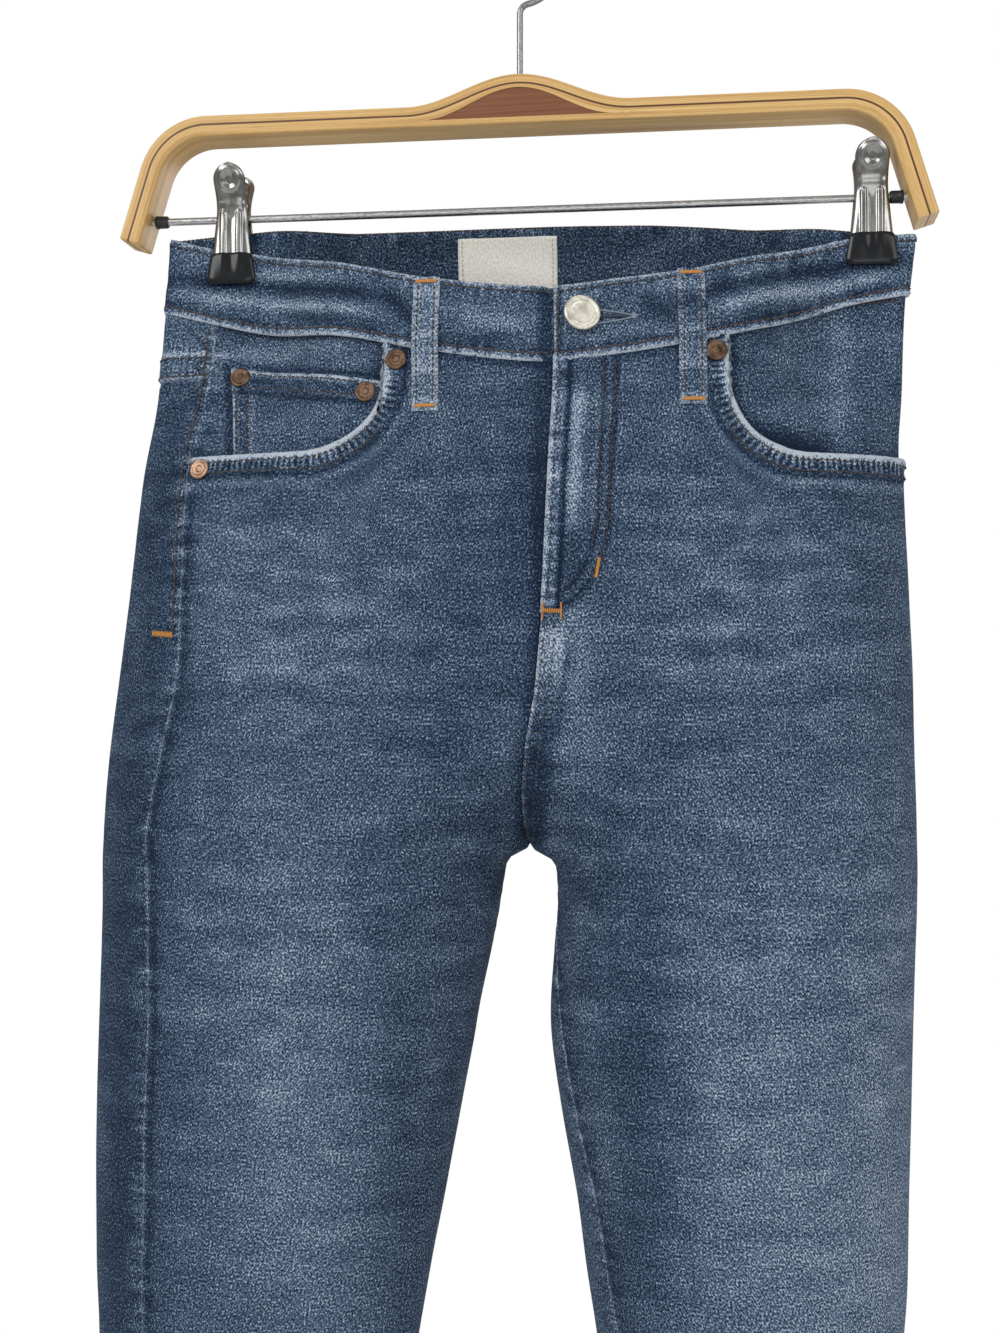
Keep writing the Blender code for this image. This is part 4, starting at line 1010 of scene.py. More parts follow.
def waistband():
    rows, proud = bandLook["rows"], bandLook["proud"]
    share = np.linspace(0, 1, rows)[:, None]
    quarters, parts = bandTurns(), []
    for side, turns, depth in quarters:
        turn = np.broadcast_to(turns, (rows, len(turns)))
        z = lerp(bandLevel(side, turn, 0), bandLevel(side, turn, 1), share)
        parts.append((*cloth(side, z, turn, proud - depth), turn, np.broadcast_to(depth, turn.shape)))
    plain, out, turn, depth = (np.concatenate(part, 1) for part in zip(*parts))
    top, low, end = distanceTo(plain, plain[0], plain[-1], plain[:, 0])
    end = np.where(depth > 0.01, 40, end)
    clear = np.minimum(np.abs(plain[..., 0] - clipX[-1]), np.abs(plain[..., 0] - clipX[1]))
    free = ease(clear, 13, 24)
    front = np.sin(turn) >= 0
    creases = creaseHeight(bandCreases, plain[..., 0], plain[..., 2], (-0.1, 0.25), (0.75, 1.1)) * front
    around = np.broadcast_to(lengths(plain[rows // 2]), top.shape)
    ropes = 0.25 * np.sin(around * 0.9) * bump(low, 4, 4) + 0.16 * np.sin(around * 1.05 + 1) * bump(top, 4, 4)
    lift = -0.6 * (bump(top, 0, 0.8) + bump(low, 0, 0.8) + bump(end, 0, 0.8))
    lift += 0.45 * (bump(low, 1.6, 1.2) + bump(top, 1.6, 1.2)) - 0.25 * (bump(low, 3.6, 0.9) + bump(top, 3.3, 0.9))
    lift += (creases + ropes) * free
    points = plain + out * lift[..., None]
    edge = np.minimum(np.minimum(top, low), end)
    # Pale worn edges, with a darker line above the low edge.
    extra = 0.54 * bump(low, 0.9, 1.6) + 0.22 * bump(top, 0.8, 1.1) - 0.20 * bump(low, 4.6, 2.0)
    # Painted light and shade: lighter on the crease ridges and darker in their troughs, and darker on the band's left
    # end where it turns away; the back half is a little darker.
    extra += 0.34 * creases - 0.05 * ~front - 0.16 * bump(plain[..., 0], -176, 9) * front
    # Painted shadow on the underlapping end, beside the buttoned end.
    shaded = front & (depth > 0.01)
    extra = extra - 0.30 * bump(plain[..., 0], 15.5, 3.5) * shaded
    extra = extra + ridges(end, ((0.20, 1.0, 1.0), (0.24, 5.2, 1.2), (-0.18, 3.0, 0.9)))
    maps = {"weave": np.stack([around, points[..., 2]], -1)}
    materials, shading = [denimBand, denimShadedInside], masks(extra, edge, around)
    piece = gridPiece("waistbandCloth", points, out, materials, bandLook["wall"], shading, maps)
    seat(piece, "waistband")
    for inset, thread, length in ((3.2, brown, 2.9), (-3.6, rust, 3.0)):
        for side, turns, _ in quarters[:4]:
            turns = np.linspace(turns[0], turns[-1], 420)
            turns = turns[np.abs(turns) < math.radians(89.4)]
            z = bandLevel(side, turns, 0 if inset > 0 else 1) - inset
            line, outs = cloth(side, z, turns, proud + 0.22)
            thread.run(line, outs, length, 0.6)
    for side, turns, _ in quarters[:4]:
        turns = np.linspace(turns[0], turns[-1], 420)
        for drop in (0.9, 31.0):
            line, outs = cloth(side, bandLevel(side, turns, 0) - drop, turns, proud - 2.3)
            rust.run(line, -outs, 1.9, 0.25, 0.42)
    x = np.full(40, 21.4)
    z = np.linspace(float(band[1][0](21.4)) - 3, float(band[1][1](21.4)) + 3, 40)
    rust.run(*onFace(x, z, 1, proud + 0.15), 2.6, 0.5)


waistband()


coinLook = {"left": (-141.0, -132.0), "right": -48.0, "top": (-211.0, -226.5), "low": -271.0, "out": -1.25}
facingLook = {"columns": 58, "rows": 44, "wall": 0.9, "depth": {-1: 2.7, 1: 1.7}}


def coinSide(z):
    """x of the coin pocket's side edge at a height."""
    (top, low), start = coinLook["left"], coinLook["top"][0]
    return top + (start - z) * (low - top) / (start - coinLook["low"])


def coinTop(x):
    """Height of the coin pocket's top edge at x."""
    (left, right), start = coinLook["top"], coinLook["left"][0]
    return left + (x - start) * (right - left) / (coinLook["right"] - start)


def facing(side):
    scoop = scoops[side]
    rows, columns = facingLook["rows"], facingLook["columns"]
    start = turnAt([scoop["edge"] - side * 13], [waistSeam], 1)
    _, outer, _ = seamTurns(waistSeam, side)
    share = np.linspace(0, 1, rows + 1)[:, None]
    turn = np.broadcast_to(spacedTurns(-225.0, side, float(start[0]), outer, columns), (rows + 1, columns + 1))
    z = lerp(bandLevel(side, turn, 1) + tucked, scoop["low"] - 12, share)
    _, seamTurn, _ = seamTurns(z, side)
    lean = (turn - turn[:, :1]) / (turn[:, -1:] - turn[:, :1])
    turn = turn + (seamTurn - outer) * lean**3
    plain, _ = cloth(side, z, turn)
    outerEdge = distanceTo(plain, plain[:, -1])
    depth = facingLook["depth"][side] * ease(outerEdge, 0.5, 12) + 0.35
    points, out = cloth(side, z, turn, -depth)
    x, height = points[..., 0], points[..., 2]
    # Pale worn patches; the darkening below is painted shadow.
    worn = ridges(x, ((0.14, 150, 8), (0.05, 128, 6))) if side > 0 else 0.14 * bump(height, -206, 7)
    path = scoopPath(side)
    rim = surface(side, path[:, 1], path[:, 0])
    rim = rim[side * (rim[:, 0] - scoop["edge"]) > -0.3]
    fromRim = distanceTo(plain, rim)
    # Painted shadow under the scoop's rim.
    worn = worn - 0.30 * bump(fromRim, 0, 3.5)
    if side > 0:
        # Painted shadow deep in the right pocket's gape.
        worn = worn - 0.75 * bump(fromRim, 0, 9) * bump(x, 127, 15) * ease(-height, 238, 252)
    else:
        # Painted shadow along the coin pocket's side and top edges.
        across, above = x - coinSide(height), height - coinTop(x)
        inPocket = ease(-height, 206, 210)
        worn = worn - 0.40 * bump(across, -2.2, 1.6) * inPocket - 0.34 * bump(above, 1.9, 1.4) * ease(across, -2, 1)
    sag = 0.5 * np.sin(x * 0.21 + height * 0.05) * bump(height, -240, 22)
    points = points + out * sag[..., None]
    word = words[side]
    piece = gridPiece("facing" + word, points, out, [denimFace], facingLook["wall"], masks(worn - 0.01, outerEdge, z))
    seat(piece, "facing_" + word.lower(), "denim_facing")


for side in (-1, 1):
    facing(side)


def coinPocket():
    look = coinLook
    s, t = np.meshgrid(np.linspace(0, 1, 45), np.linspace(0, 1, 31))
    x = lerp(lerp(*look["left"], t), look["right"], s)
    z = lerp(lerp(*look["top"], s), look["low"], t)
    plain, out = onFace(x, z, 1, look["out"])
    top, side = distanceTo(plain, plain[0], plain[:, 0])
    lift = 0.65 * (1 - ease(top, 10.4, 11.6)) - 0.5 * bump(top, 0, 0.7)
    lift += ridges(side, ((-0.3, 4.6, 1.8), (-0.5, 0, 0.7)))
    lift += 0.2 * np.sin(x * 0.95) * bump(top, 6, 5) + 0.15 * np.sin(z * 0.9) * bump(side, 4, 4)
    points = plain + out * lift[..., None]
    edge = np.minimum(top, side)
    # Pale worn ridges on the top and side edges; the dark line just past the raised top hem and the darker band in the
    # side groove are painted shade; also darker between the top's stitch rows and paler 9.4 mm from the side.
    extra = 0.46 * bump(top, 1.0, 1.5) + 0.34 * bump(side, 0.9, 1.4) - 0.36 * bump(top, 12.0, 1.2)
    extra -= 0.16 * bump(top, 6.0, 2.2) + 0.20 * bump(side, 4.6, 2.0) - 0.16 * bump(side, 9.4, 1.2)
    piece = gridPiece("coinPocket", points, out, [denimFace], 0.9, masks(extra, edge, x + z))
    seat(piece, "coin_pocket")
    for inset in (2.0, 8.6):
        line = np.linspace(-139.5 if inset < 5 else -139, -56, 200)
        brown.run(*onFace(line, coinTop(line) - inset, 1, -0.75), 2.6, 0.5)
    for inset in (1.8, 7.4):
        height = np.linspace(-213.5, -257, 120)
        brown.run(*onFace(coinSide(height) + inset, height, 1, -1.1), 2.6, 0.5)


coinPocket()


flyLook = {"top": -214.0, "low": -334.0, "curve": 44.0, "foot": 3.0, "width": 27.0, "wall": 1.1, "out": 0.35}


def flyFar(z, inset=0.0):
    """x of the fly's J-shaped edge, or of a line inside it."""
    look = flyLook
    climb = np.clip((np.asarray(z, float) - look["low"] - inset) / (look["curve"] - inset), 0, 1)
    return section["frontCentre"](z) + look["foot"] + (look["width"] - inset) * np.sqrt(1 - (1 - climb) ** 2)


def flyFlap():
    columns, rows = 26, 74
    s, t = np.meshgrid(np.linspace(0, 1, columns + 1), 1 - (1 - np.linspace(0, 1, rows + 1)) ** 1.5)
    z = lerp(flyLook["top"], flyLook["low"], t)
    x = lerp(section["frontCentre"](z) - 0.6, flyFar(z), s)
    plain, out = cloth(1, z, faceTurn(1, 1, x, z), flyLook["out"])
    fold, far = distanceTo(plain, plain[:, 0], plain[:, -1])
    lift = 0.95 * (1 - ease(fold, 20, 27)) - 0.7 * bump(fold, 0, 0.8) - 0.3 * bump(far, 0, 0.7)
    lift += 0.35 * np.sin(z * 0.55) * bump(fold, 7, 6) + ridges(fold, ((0.25, 5.5, 2.0), (-0.55, 7.8, 1.3)))
    lift = lift * ease(-z, 213, 220) - 0.9 * (1 - ease(-z, 213, 218))
    points = plain + out * lift[..., None]
    fade = ease(-z, 226, 234) * (1 - ease(-z, 286, 300))
    broken = 0.85 + 0.15 * np.sin(z * 0.31) * np.sin(z * 0.11 + 2)
    # Pale fold ridge and worn stripes; the dark line in the groove 7.9 mm from the fold and the darkening just below
    # the band are painted shade; darker lines run along the J-stitching.
    extra = 0.16 * (1 - ease(fold, 6.0, 7.4)) + ridges(fold, ((0.34, 0.8, 1.2), (-0.55, 7.9, 1.0)))
    extra += 0.14 * np.sin(z * 1.1) * bump(fold, 4, 2.5) + 0.42 * bump(fold, 12.4, 3.6) * fade * broken
    extra += 0.14 * bump(fold, 22.0, 1.6) * fade - 0.30 * bump(far, 1.8, 1.0) - 0.30 * bump(far, 7.0, 1.0)
    extra -= 0.10 * bump(z, -222, 5) + 0.14 * ease(-z, 292, 304) * bump(fold, 15, 8)
    piece = gridPiece("flyCloth", points, out, [denimFace], flyLook["wall"], masks(extra, fold + 0.6, z))
    seat(piece, "fly")
    for inset in (1.6, 6.8):
        height = np.linspace(-219.0, flyLook["low"] + 1 + inset, 260)
        line = flyFar(height, inset) - 0.6
        brown.run(*onFace(line, height, 1, 0.62), 2.7, 0.5)
    height = np.linspace(-219.0, -330.0, 160)
    navy.run(*onFace(section["frontCentre"](height) + 2.4, height, 1, 1.15), 2.6, 0.6)


flyFlap()


def bars(thread, starts, ends, face, out, radius):
    """One stitch from each start (x, z) to each end (x, z) on a face."""
    points, outs = onFace(*starts, face, out)
    thread.add(points, onFace(*ends, face, out)[0], outs, radius)


loopLook = {"half": 6.3, "drop": 29.5, "arch": 1.9, "wall": 1.1, "brighter": {"loopFrontLeft": 0.26}}


def loopPiece(name, node, face, middle, bottomShift=0.0):
    look = loopLook
    columns, rows = 12, 58
    s, t = np.meshgrid(np.linspace(-1, 1, columns + 1), np.linspace(0, 1, rows + 1))
    top, low = band[face][0](middle) - 0.6, band[face][1](middle)
    z = lerp(top, low - look["drop"], t)
    x = middle + bottomShift * t + look["half"] * s
    over = ease(z, low - 3.0, low - 0.5)
    arch = look["arch"] * np.sin(math.pi * t) ** 2
    out = 0.55 + over * bandLook["proud"] + arch + 0.5 * (1 - s**4) - 0.25 * np.cos(2 * math.pi * s)
    out += 0.12 * np.sin(z * 1.0) * np.abs(s)
    points, outs = onFace(x, z, face, out)
    ends = np.minimum(t, 1 - t) * 64
    edge = np.minimum((1 - np.abs(s)) * look["half"], ends + 0.4)
    extra = ridges(np.abs(s), ((0.20, 0.62, 0.22), (-0.12, 0.35, 0.14))) + look["brighter"].get(name, 0.12)
    extra = extra - 0.22 * bump(z, top - 17, 6) * (name == "loopFrontRight")
    piece = gridPiece(name, points, outs, [denimFace], look["wall"], masks(extra, edge + 0.5, z))
    seat(piece, node)
    for column in (-3.9, 3.9):
        height = np.linspace(top - 4, low - 25, 120)
        share = (top - height) / (top - low + look["drop"])
        above = 0.75 + ease(height, low - 3, low - 0.5) * bandLook["proud"]
        above += look["arch"] * np.sin(math.pi * share) ** 2
        brown.run(*onFace(middle + bottomShift * share + column, height, face, above + 0.35), 2.6, 0.55)
    for height in (top - 2.2, low - 27.2):
        share = (top - height) / (top - low + look["drop"])
        above = 1.0 + (bandLook["proud"] if height > low else 0.0) + 0.35
        x = middle + bottomShift * share + np.linspace(-4.6, 4.6, 17)
        bars(orange, (x - 0.3, height - 0.95), (x + 0.3, height + 0.95), face, above, 0.34)


loopPiece("loopFrontLeft", "belt_loop_1", 1, -41.0, 1.5)
loopPiece("loopFrontRight", "belt_loop_2", 1, 82.0, 1.5)
loopPiece("loopBackLeft", "belt_loop_3", -1, -101.0)
loopPiece("loopBackMiddle", "belt_loop_4", -1, -10.0)
loopPiece("loopBackRight", "belt_loop_5", -1, 88.0)
print("band and pockets ready")


def backArc(side, z, arc):
    """Turns of back points that lie arc millimetres round from the centre seam."""
    found = np.empty(arc.shape)
    for i in range(arc.shape[0]):
        level = float(z[i].mean())
        turns = np.linspace(seamTurns(level, side)[2], 0.4, 200)
        run = lengths(baseSurface(side, level, turns))
        found[i] = np.interp(arc[i], run, turns)
    return found


pocketLook = {"near": 24.0, "top": 126.0, "low": 110.0, "height": 122.0, "point": 17.0, "topZ": -252.0, "slope": 6.0}


def pocketSpot(side, s, t):
    look = pocketLook
    width = lerp(look["top"], look["low"], t)
    arc = look["near"] + 0.5 * (look["top"] - width) + width * s
    z = look["topZ"] + look["slope"] * s * (1 - t) - look["height"] * t
    z = z - look["point"] * t**1.5 * (1 - np.abs(2 * s - 1))
    return backArc(side, z, arc), z


def backPocket(side):
    s, t = np.meshgrid(np.linspace(0, 1, 57), np.linspace(0, 1, 61))
    turn, z = pocketSpot(side, s, t)
    plain, out = cloth(side, z, turn, 1.35)
    rim = np.concatenate((plain[:, 0], plain[-1, 1:], plain[::-1, -1][1:]))
    sides, top = distanceTo(plain, rim, plain[0])
    lift = -0.8 * (bump(sides, 0, 0.8) + bump(top, 0, 0.7)) + 0.5 * (1 - ease(top, 12, 13.5))
    lift += 0.8 * bump(s, 0.5, 0.35) * (1 - ease(top, 0, 40))
    lift += 0.14 * np.sin((plain[..., 0] + z) * 0.9) * bump(sides, 4, 4)
    points = plain + out * lift[..., None]
    edge = np.minimum(sides, top)
    # Pale worn edges; the dark line just past the raised top hem is painted shade.
    extra = 0.2 * bump(sides, 0.8, 1.3) + 0.22 * bump(top, 0.8, 1.3) - 0.08 * bump(top, 15, 2) + 0.02
    word = words[side]
    along = np.where(top <= edge + 0.01, s * 126, t * 122)
    wearAndShade = wearAndShadeAt(points, turn) + extra
    piece = gridPiece("backPocket" + word, points, out, [denimFace], 1.1, masks(wearAndShade, edge, along))
    seat(piece, "back_pocket_" + word.lower())
    for inset in (0.018, 0.062):
        down = np.linspace(0.02, 1 - inset * 0.9, 50)
        across = np.linspace(inset, 1 - inset, 60)[1:-1]
        sAll = np.concatenate((np.full(50, inset), across, np.full(50, 1 - inset)))
        tAll = np.concatenate((down, np.full(58, 1 - inset * 0.9), down[::-1]))
        turns, heights = pocketSpot(side, sAll[:, None], tAll[:, None])
        line, outs = cloth(side, heights[:, 0], turns[:, 0], 1.55)
        brown.run(line, outs, 2.9, 0.55)
    for inset in (0.016, 0.098):
        across = np.linspace(0.01, 0.99, 80)[:, None]
        turns, heights = pocketSpot(side, across, np.full((80, 1), inset))
        line, outs = cloth(side, heights[:, 0], turns[:, 0], 1.95)
        brown.run(line, outs, 2.9, 0.55)
    for s in (0.035, 0.965):
        turns, heights = pocketSpot(side, np.full((14, 1), s), np.linspace(0.004, 0.06, 14)[:, None])
        starts, outs = cloth(side, heights[:, 0], turns[:, 0] - 0.012, 2.1)
        ends, _ = cloth(side, heights[:, 0], turns[:, 0] + 0.012, 2.1)
        orange.add(starts, ends, outs, 0.32)


for side in (-1, 1):
    backPocket(side)


hemLook = {"height": 16.0, "below": 0.8, "wall": 2.2}


def hemBand(side):
    top, low = hem + hemLook["height"], hem - hemLook["below"]
    turns = np.linspace(0, 2 * math.pi, 121)
    share = np.linspace(0, 1, 9)[:, None]
    turn = np.broadcast_to(turns, (9, 121))
    z = lerp(top, low, share) * np.ones(turn.shape)
    out = 0.55 - 0.35 * bump(share, 0, 0.12) + 0.12 * np.sin(turn * 41) * np.ones(z.shape)
    points, outs = cloth(side, z, turn, out)
    shading = masks(0.25 * bump(z - low, 0.8, 1.4) + 0.05, np.minimum(z - low, top - z), turn * 40)
    piece = gridPiece("hem" + words[side], points, outs, [denimFace, denimInside], hemLook["wall"], shading)
    join(piece, None)
    line = np.linspace(0, 2 * math.pi, 300)
    brown.run(*cloth(side, hem + 13.2, line, 0.75), 3.0, 0.6)


for side in (-1, 1):
    hemBand(side)


def seamRuns():
    """Topstitching along the seams between panels."""
    for side in (-1, 1):
        turns = np.linspace(*panelTurns(yokeSeam, side, False), 240)[2:-2]
        for rise in (2.0, 11.0):
            brown.run(*cloth(side, yokeLevel(side, turns) + rise, turns, 0.62))
    height = np.linspace(-180.0, -430.0, 420)
    for shift in (2.0, 7.6):
        brown.run(*onFace(section["backCentre"](height) + shift, height, -1, 0.3))
    rise = np.linspace(-338.0, -436.0, 220)
    for shift in (1.9, 6.6):
        x = section["frontCentre"](rise) + shift * (1 - 0.3 * ease(-rise, 400, 436))
        brown.run(*onFace(x, rise, 1, 0.35), 2.7, 0.5)
    for side in (-1, 1):
        z = np.linspace(-190.0 if side > 0 else -192.0, -341.0, 220)
        _, outer, _ = seamTurns(z, side)
        moved = np.linalg.norm(baseSurface(side, z, outer + 0.01) - baseSurface(side, z, outer), axis=1)
        rust.run(*cloth(side, z, outer - 2.4 / np.maximum(moved, 1e-6) * 0.01, 0.55))


seamRuns()


def bartack(x0, z0, x1, z1, out=1.1, width=1.5, count=16):
    """Close stitches across a short line."""
    t = np.linspace(0, 1, count)
    x, z = lerp(x0, x1, t), lerp(z0, z1, t)
    length = math.hypot(x1 - x0, z1 - z0)
    ax, az = -(z1 - z0) / length * width, (x1 - x0) / length * width
    bars(orange, (x - ax + 0.25, z - az), (x + ax - 0.25, z + az), 1, out, 0.34)


bartack(41.6, -310.0, 40.2, -318.5, out=1.1, width=1.1)
bartack(17.2, -333.2, 24.4, -333.6, out=1.5, width=1.2, count=10)
bartack(16.6, -329.6, 16.4, -336.8, out=1.5, width=0.8, count=12)
bartack(24.8, -330.0, 24.8, -337.0, out=1.5, width=0.8, count=12)
bartack(-171.5, -341.5, -160.5, -342.5, out=0.95)


# Trims: label, button, rivets


def labelPiece():
    look = labelLook
    s, t = np.meshgrid(np.linspace(0, 1, 41), np.linspace(0, 1, 25))
    x, z = lerp(look["left"], look["right"], s), lerp(look["top"], look["low"], t)
    depth = bandLook["proud"] - bandLook["wall"] - 0.55
    plain, outs = onFace(x, z, -1, depth)
    ends = np.minimum(s, 1 - s) * (look["right"] - look["left"])
    lift = 0.25 * np.sin(z * 0.3 + x * 0.08) + 0.45 * bump(ends, 7, 2.5) - 0.3 * (1 - ease(ends, 0, 2))
    points = plain - outs * lift[..., None]
    piece = gridPiece("labelTape", points, -outs, [labelCloth], 0.8)
    seat(piece, "label")
    for column in (look["left"] + 2.2, look["right"] - 2.2):
        height = np.linspace(look["top"] - 1, look["low"] + 1, 60)
        line, outs = onFace(column, height, -1, depth - 0.15)
        pale.run(line, -outs, 1.7, 0.5)


labelLook = {"left": -33.5, "right": 16.0, "top": -144.0, "low": -173.5}
labelCloth = plainCloth("labelCloth", (0.74, 0.72, 0.65), (0.98, 0.96, 0.89), 1.2)
pale = Thread("stitchesPale", "threadPale", (0.52, 0.50, 0.42), radius=0.26)
labelPiece()


def place(point, out):
    """Puts +Z along out at a point, both in millimetres."""
    turned = Vector(out).to_track_quat("Z", "Y").to_matrix().to_4x4()
    return Matrix.Translation(Vector(point) * mm) @ turned


def latheObject(name, profile, material, where, steps=48, node=None):
    """A profile of (radius, height) turned round +Z, then placed."""
    bm = bmesh.new()
    verts = [bm.verts.new((radius * mm, 0, height * mm)) for radius, height in profile]
    edges = [bm.edges.new(pair) for pair in zip(verts, verts[1:])]
    bmesh.ops.spin(
        bm, geom=verts + edges, axis=(0, 0, 1), cent=(0, 0, 0), dvec=(0, 0, 0), angle=2 * math.pi, steps=steps,
        use_merge=True, use_duplicate=False,
    )
    bmesh.ops.remove_doubles(bm, verts=bm.verts, dist=1e-6)
    bmesh.ops.recalc_face_normals(bm, faces=bm.faces)
    bmesh.ops.transform(bm, matrix=where, verts=bm.verts)
    solidObject(name, bm, material, node)


def solidObject(name, bm, material, node, sharp=40):
    mesh = newMesh(name, bm)
    mesh.shade_smooth()
    mesh.set_sharp_from_angle(angle=math.radians(sharp))
    mesh.materials.append(material)
    made = newObject(name, mesh)
    join(made, [node] if node else None)


def metal(name, dark, light, rough):
    """Metal mottled between two colours."""
    finish = Finish(name, Metallic=1.0)
    spots = finish.noise(finish.space(), 0.25 / mm, 4.0, 0.6)
    finish.set(Base_Color=spots.step(0.35, 0.65).blend(dark, light), Roughness=spots.step(0.3, 0.7, *rough))
    return finish.material


buttonMetal = metal("buttonMetal", (0.62, 0.59, 0.50), (0.88, 0.85, 0.75), (0.42, 0.55))
rivetDark = metal("rivetDark", (0.085, 0.052, 0.034), (0.21, 0.135, 0.088), (0.42, 0.55))
rivetWorn = metal("rivetWorn", (0.30, 0.17, 0.10), (0.52, 0.35, 0.24), (0.4, 0.5))


def buttonPiece():
    point, out = onFace([32.0], [-197.0], 1, 1.55)
    profile = (
        (0, -0.2), (4, 0.1), (7.6, 0.9), (8.4, 1.6), (8.6, 2.2), (8.5, 2.8), (8.0, 3.25), (7.4, 3.35), (7.0, 3.2),
        (6.75, 2.95), (6.3, 2.9), (5.9, 3.0), (5.5, 3.05), (5.15, 2.85), (4.7, 2.8), (2.4, 2.95), (1.2, 3.0), (0, 3.0),
    )
    tilted = unit(out[0] + np.array([0.30, 0.0, 0.0]))
    latheObject("shankButton", profile, buttonMetal, place(point[0] + 1.2 * out[0], tilted), 64, "button")
    x = np.linspace(38.0, 55.0, 26)
    for side in (-1, 1):
        z = -197.4 + side * 3.4 * np.clip((56.0 - x) / 17.0, 0.03, 1) ** 0.7
        bars(blue, (x, z - 0.5), (x + 0.5, z + 0.5), 1, bandLook["proud"] + 0.3, 0.36)
    x = np.linspace(39.0, 52.0, 20)
    bars(navy, (x, -197.9), (x + 1.2, -196.9), 1, bandLook["proud"] + 0.12, 0.7)
    z = np.linspace(-198.4, -196.0, 6), np.linspace(-198.0, -196.4, 6)
    bars(blue, (55.2, z[0]), (57.4, z[1]), 1, bandLook["proud"] + 0.35, 0.34)


buttonPiece()

rivetRows = (
    # node, x, z, how far out, material
    ("rivet_1", -54.0, -215.0, 0.95, "dark"),
    ("rivet_2", -135.5, -216.5, -0.65, "dark"),
    ("rivet_3", -68.5, -229.5, -0.65, "dark"),
    ("rivet_4", -150.0, -263.5, 0.75, "worn"),
    ("rivet_5", 93.5, -214.0, 0.95, "dark"),
)


def rivetAt(node, point, out, finish):
    profile = (
        (0, -0.5), (4.9, -0.5), (5.1, 0.15), (4.95, 0.6), (4.4, 0.95), (3.8, 0.9), (3.3, 0.55), (2.6, 0.42),
        (1.9, 0.5), (1.6, 0.85), (1.2, 1.05), (0.6, 1.0), (0, 0.8),
    )
    latheObject(node.replace("_", ""), profile, finish, place(point, out), 32, node)


for node, x, z, above, tone in rivetRows:
    point, out = onFace([x], [z], 1, above)
    rivetAt(node, point[0], out[0], rivetWorn if tone == "worn" else rivetDark)
point, out = cloth(1, np.array([-268.0]), np.array([math.radians(-8.0)]), np.array([0.5]))
rivetAt("rivet_6", point[0], out[0], rivetDark)
print("trims ready")

# Hanger

barLook = {
    "top": -88.3, "thick": 10.0, "half": 11.0, "bendX": 153.0, "bend": 34.0, "splay": 17.0, "arm": 36.5,
    "humpHalf": 54.0, "humpRise": 13.8, "humpPly": 6.6, "lensHalf": 46.0, "lensDepth": 7.0, "edge": 1.1,
    "veneer": (4.1, 5.0),
}


def hump(x, half):
    return 0.5 * (1 + np.cos(math.pi * np.minimum(np.abs(x) / half, 1)))


def humpTop(x):
    return barLook["top"] + barLook["humpRise"] * hump(x, barLook["humpHalf"])


def lensTop(x):
    look = barLook
    low = look["top"] - look["lensDepth"]
    return low + (humpTop(0) - look["humpPly"] - low) * hump(x, look["lensHalf"])


def barStations():
    """Points on the top edge with the direction down into the wood, from one arm's end to the other's."""
    look = barLook
    x = np.concatenate((np.linspace(0, look["humpHalf"], 37), np.linspace(look["humpHalf"], look["bendX"], 12)[1:]))
    x = np.unique(np.append(x, look["lensHalf"]))
    right = [(xi, float(humpTop(xi)), 0.0, -1.0) for xi in x]
    for angle in np.radians(np.linspace(90, look["splay"], 22)[1:]):
        ux, uz = math.cos(angle), math.sin(angle)
        right.append((look["bendX"] + look["bend"] * ux, look["top"] - look["bend"] + look["bend"] * uz, -ux, -uz))
    x0, z0, dx, dz = right[-1]
    splay = math.radians(look["splay"])
    for k in range(1, 7):
        run = look["arm"] * k / 6
        right.append((x0 + run * math.sin(splay), z0 - run * math.cos(splay), dx, dz))
    left = [(-a, b, -c, d) for a, b, c, d in reversed(right[1:])]
    return np.array(left + right)


def wood(name, stops, fine, veneer=None):
    """Wood with its grain along the bar. The attributes along and depth are in millimetres."""
    finish = Finish(name, Coat_Weight=0.1, Coat_Roughness=0.3)
    along, depth, y = finish.attribute("along"), finish.attribute("depth"), finish.place(1)
    long = finish.noise(finish.vector(along * 0.006, depth * 0.55, y * 0.16), detail=3.0)
    lines = finish.noise(finish.vector(along * 0.012, depth * fine, y * 1.1), detail=4.0, rough=0.65)
    pores = finish.noise(finish.vector(along * 0.12, depth * 3.0, y * 2.6), detail=2.0)
    tone = long * 0.45 + lines * 0.6 - pores.step(0.62, 0.75) * 0.10
    colour = tone.ramp(stops)
    if veneer:
        start, end = veneer
        line = depth.step(start - 0.15, start + 0.12) * depth.step(end - 0.12, end + 0.15, 1.0, 0.0)
        colour = line.blend(colour, (0.10, 0.032, 0.010))
    finish.set(Base_Color=colour, Roughness=lines.step(0.3, 0.7, 0.38, 0.5))
    finish.relief(lines * 0.06 - pores * 0.05, 0.5)
    return finish.material


mapleWood = wood(
    "mapleWood",
    (
        (0.36, (0.42, 0.225, 0.066)),
        (0.46, (0.58, 0.340, 0.112)),
        (0.55, (0.69, 0.435, 0.158)),
        (0.66, (0.79, 0.535, 0.225)),
    ),
    2.4,
    barLook["veneer"],
)
redWood = wood(
    "redWood", ((0.30, (0.12, 0.036, 0.011)), (0.5, (0.185, 0.062, 0.020)), (0.72, (0.25, 0.092, 0.034))), 1.1
)


def thicken(bm, depth):
    """Pulls a flat mesh along Y, in millimetres."""
    swept = bmesh.ops.extrude_face_region(bm, geom=bm.faces[:], use_keep_orig=True)
    moved = [vert for vert in swept["geom"] if isinstance(vert, bmesh.types.BMVert)]
    bmesh.ops.translate(bm, vec=(0, depth * mm, 0), verts=moved)
    bmesh.ops.recalc_face_normals(bm, faces=bm.faces)


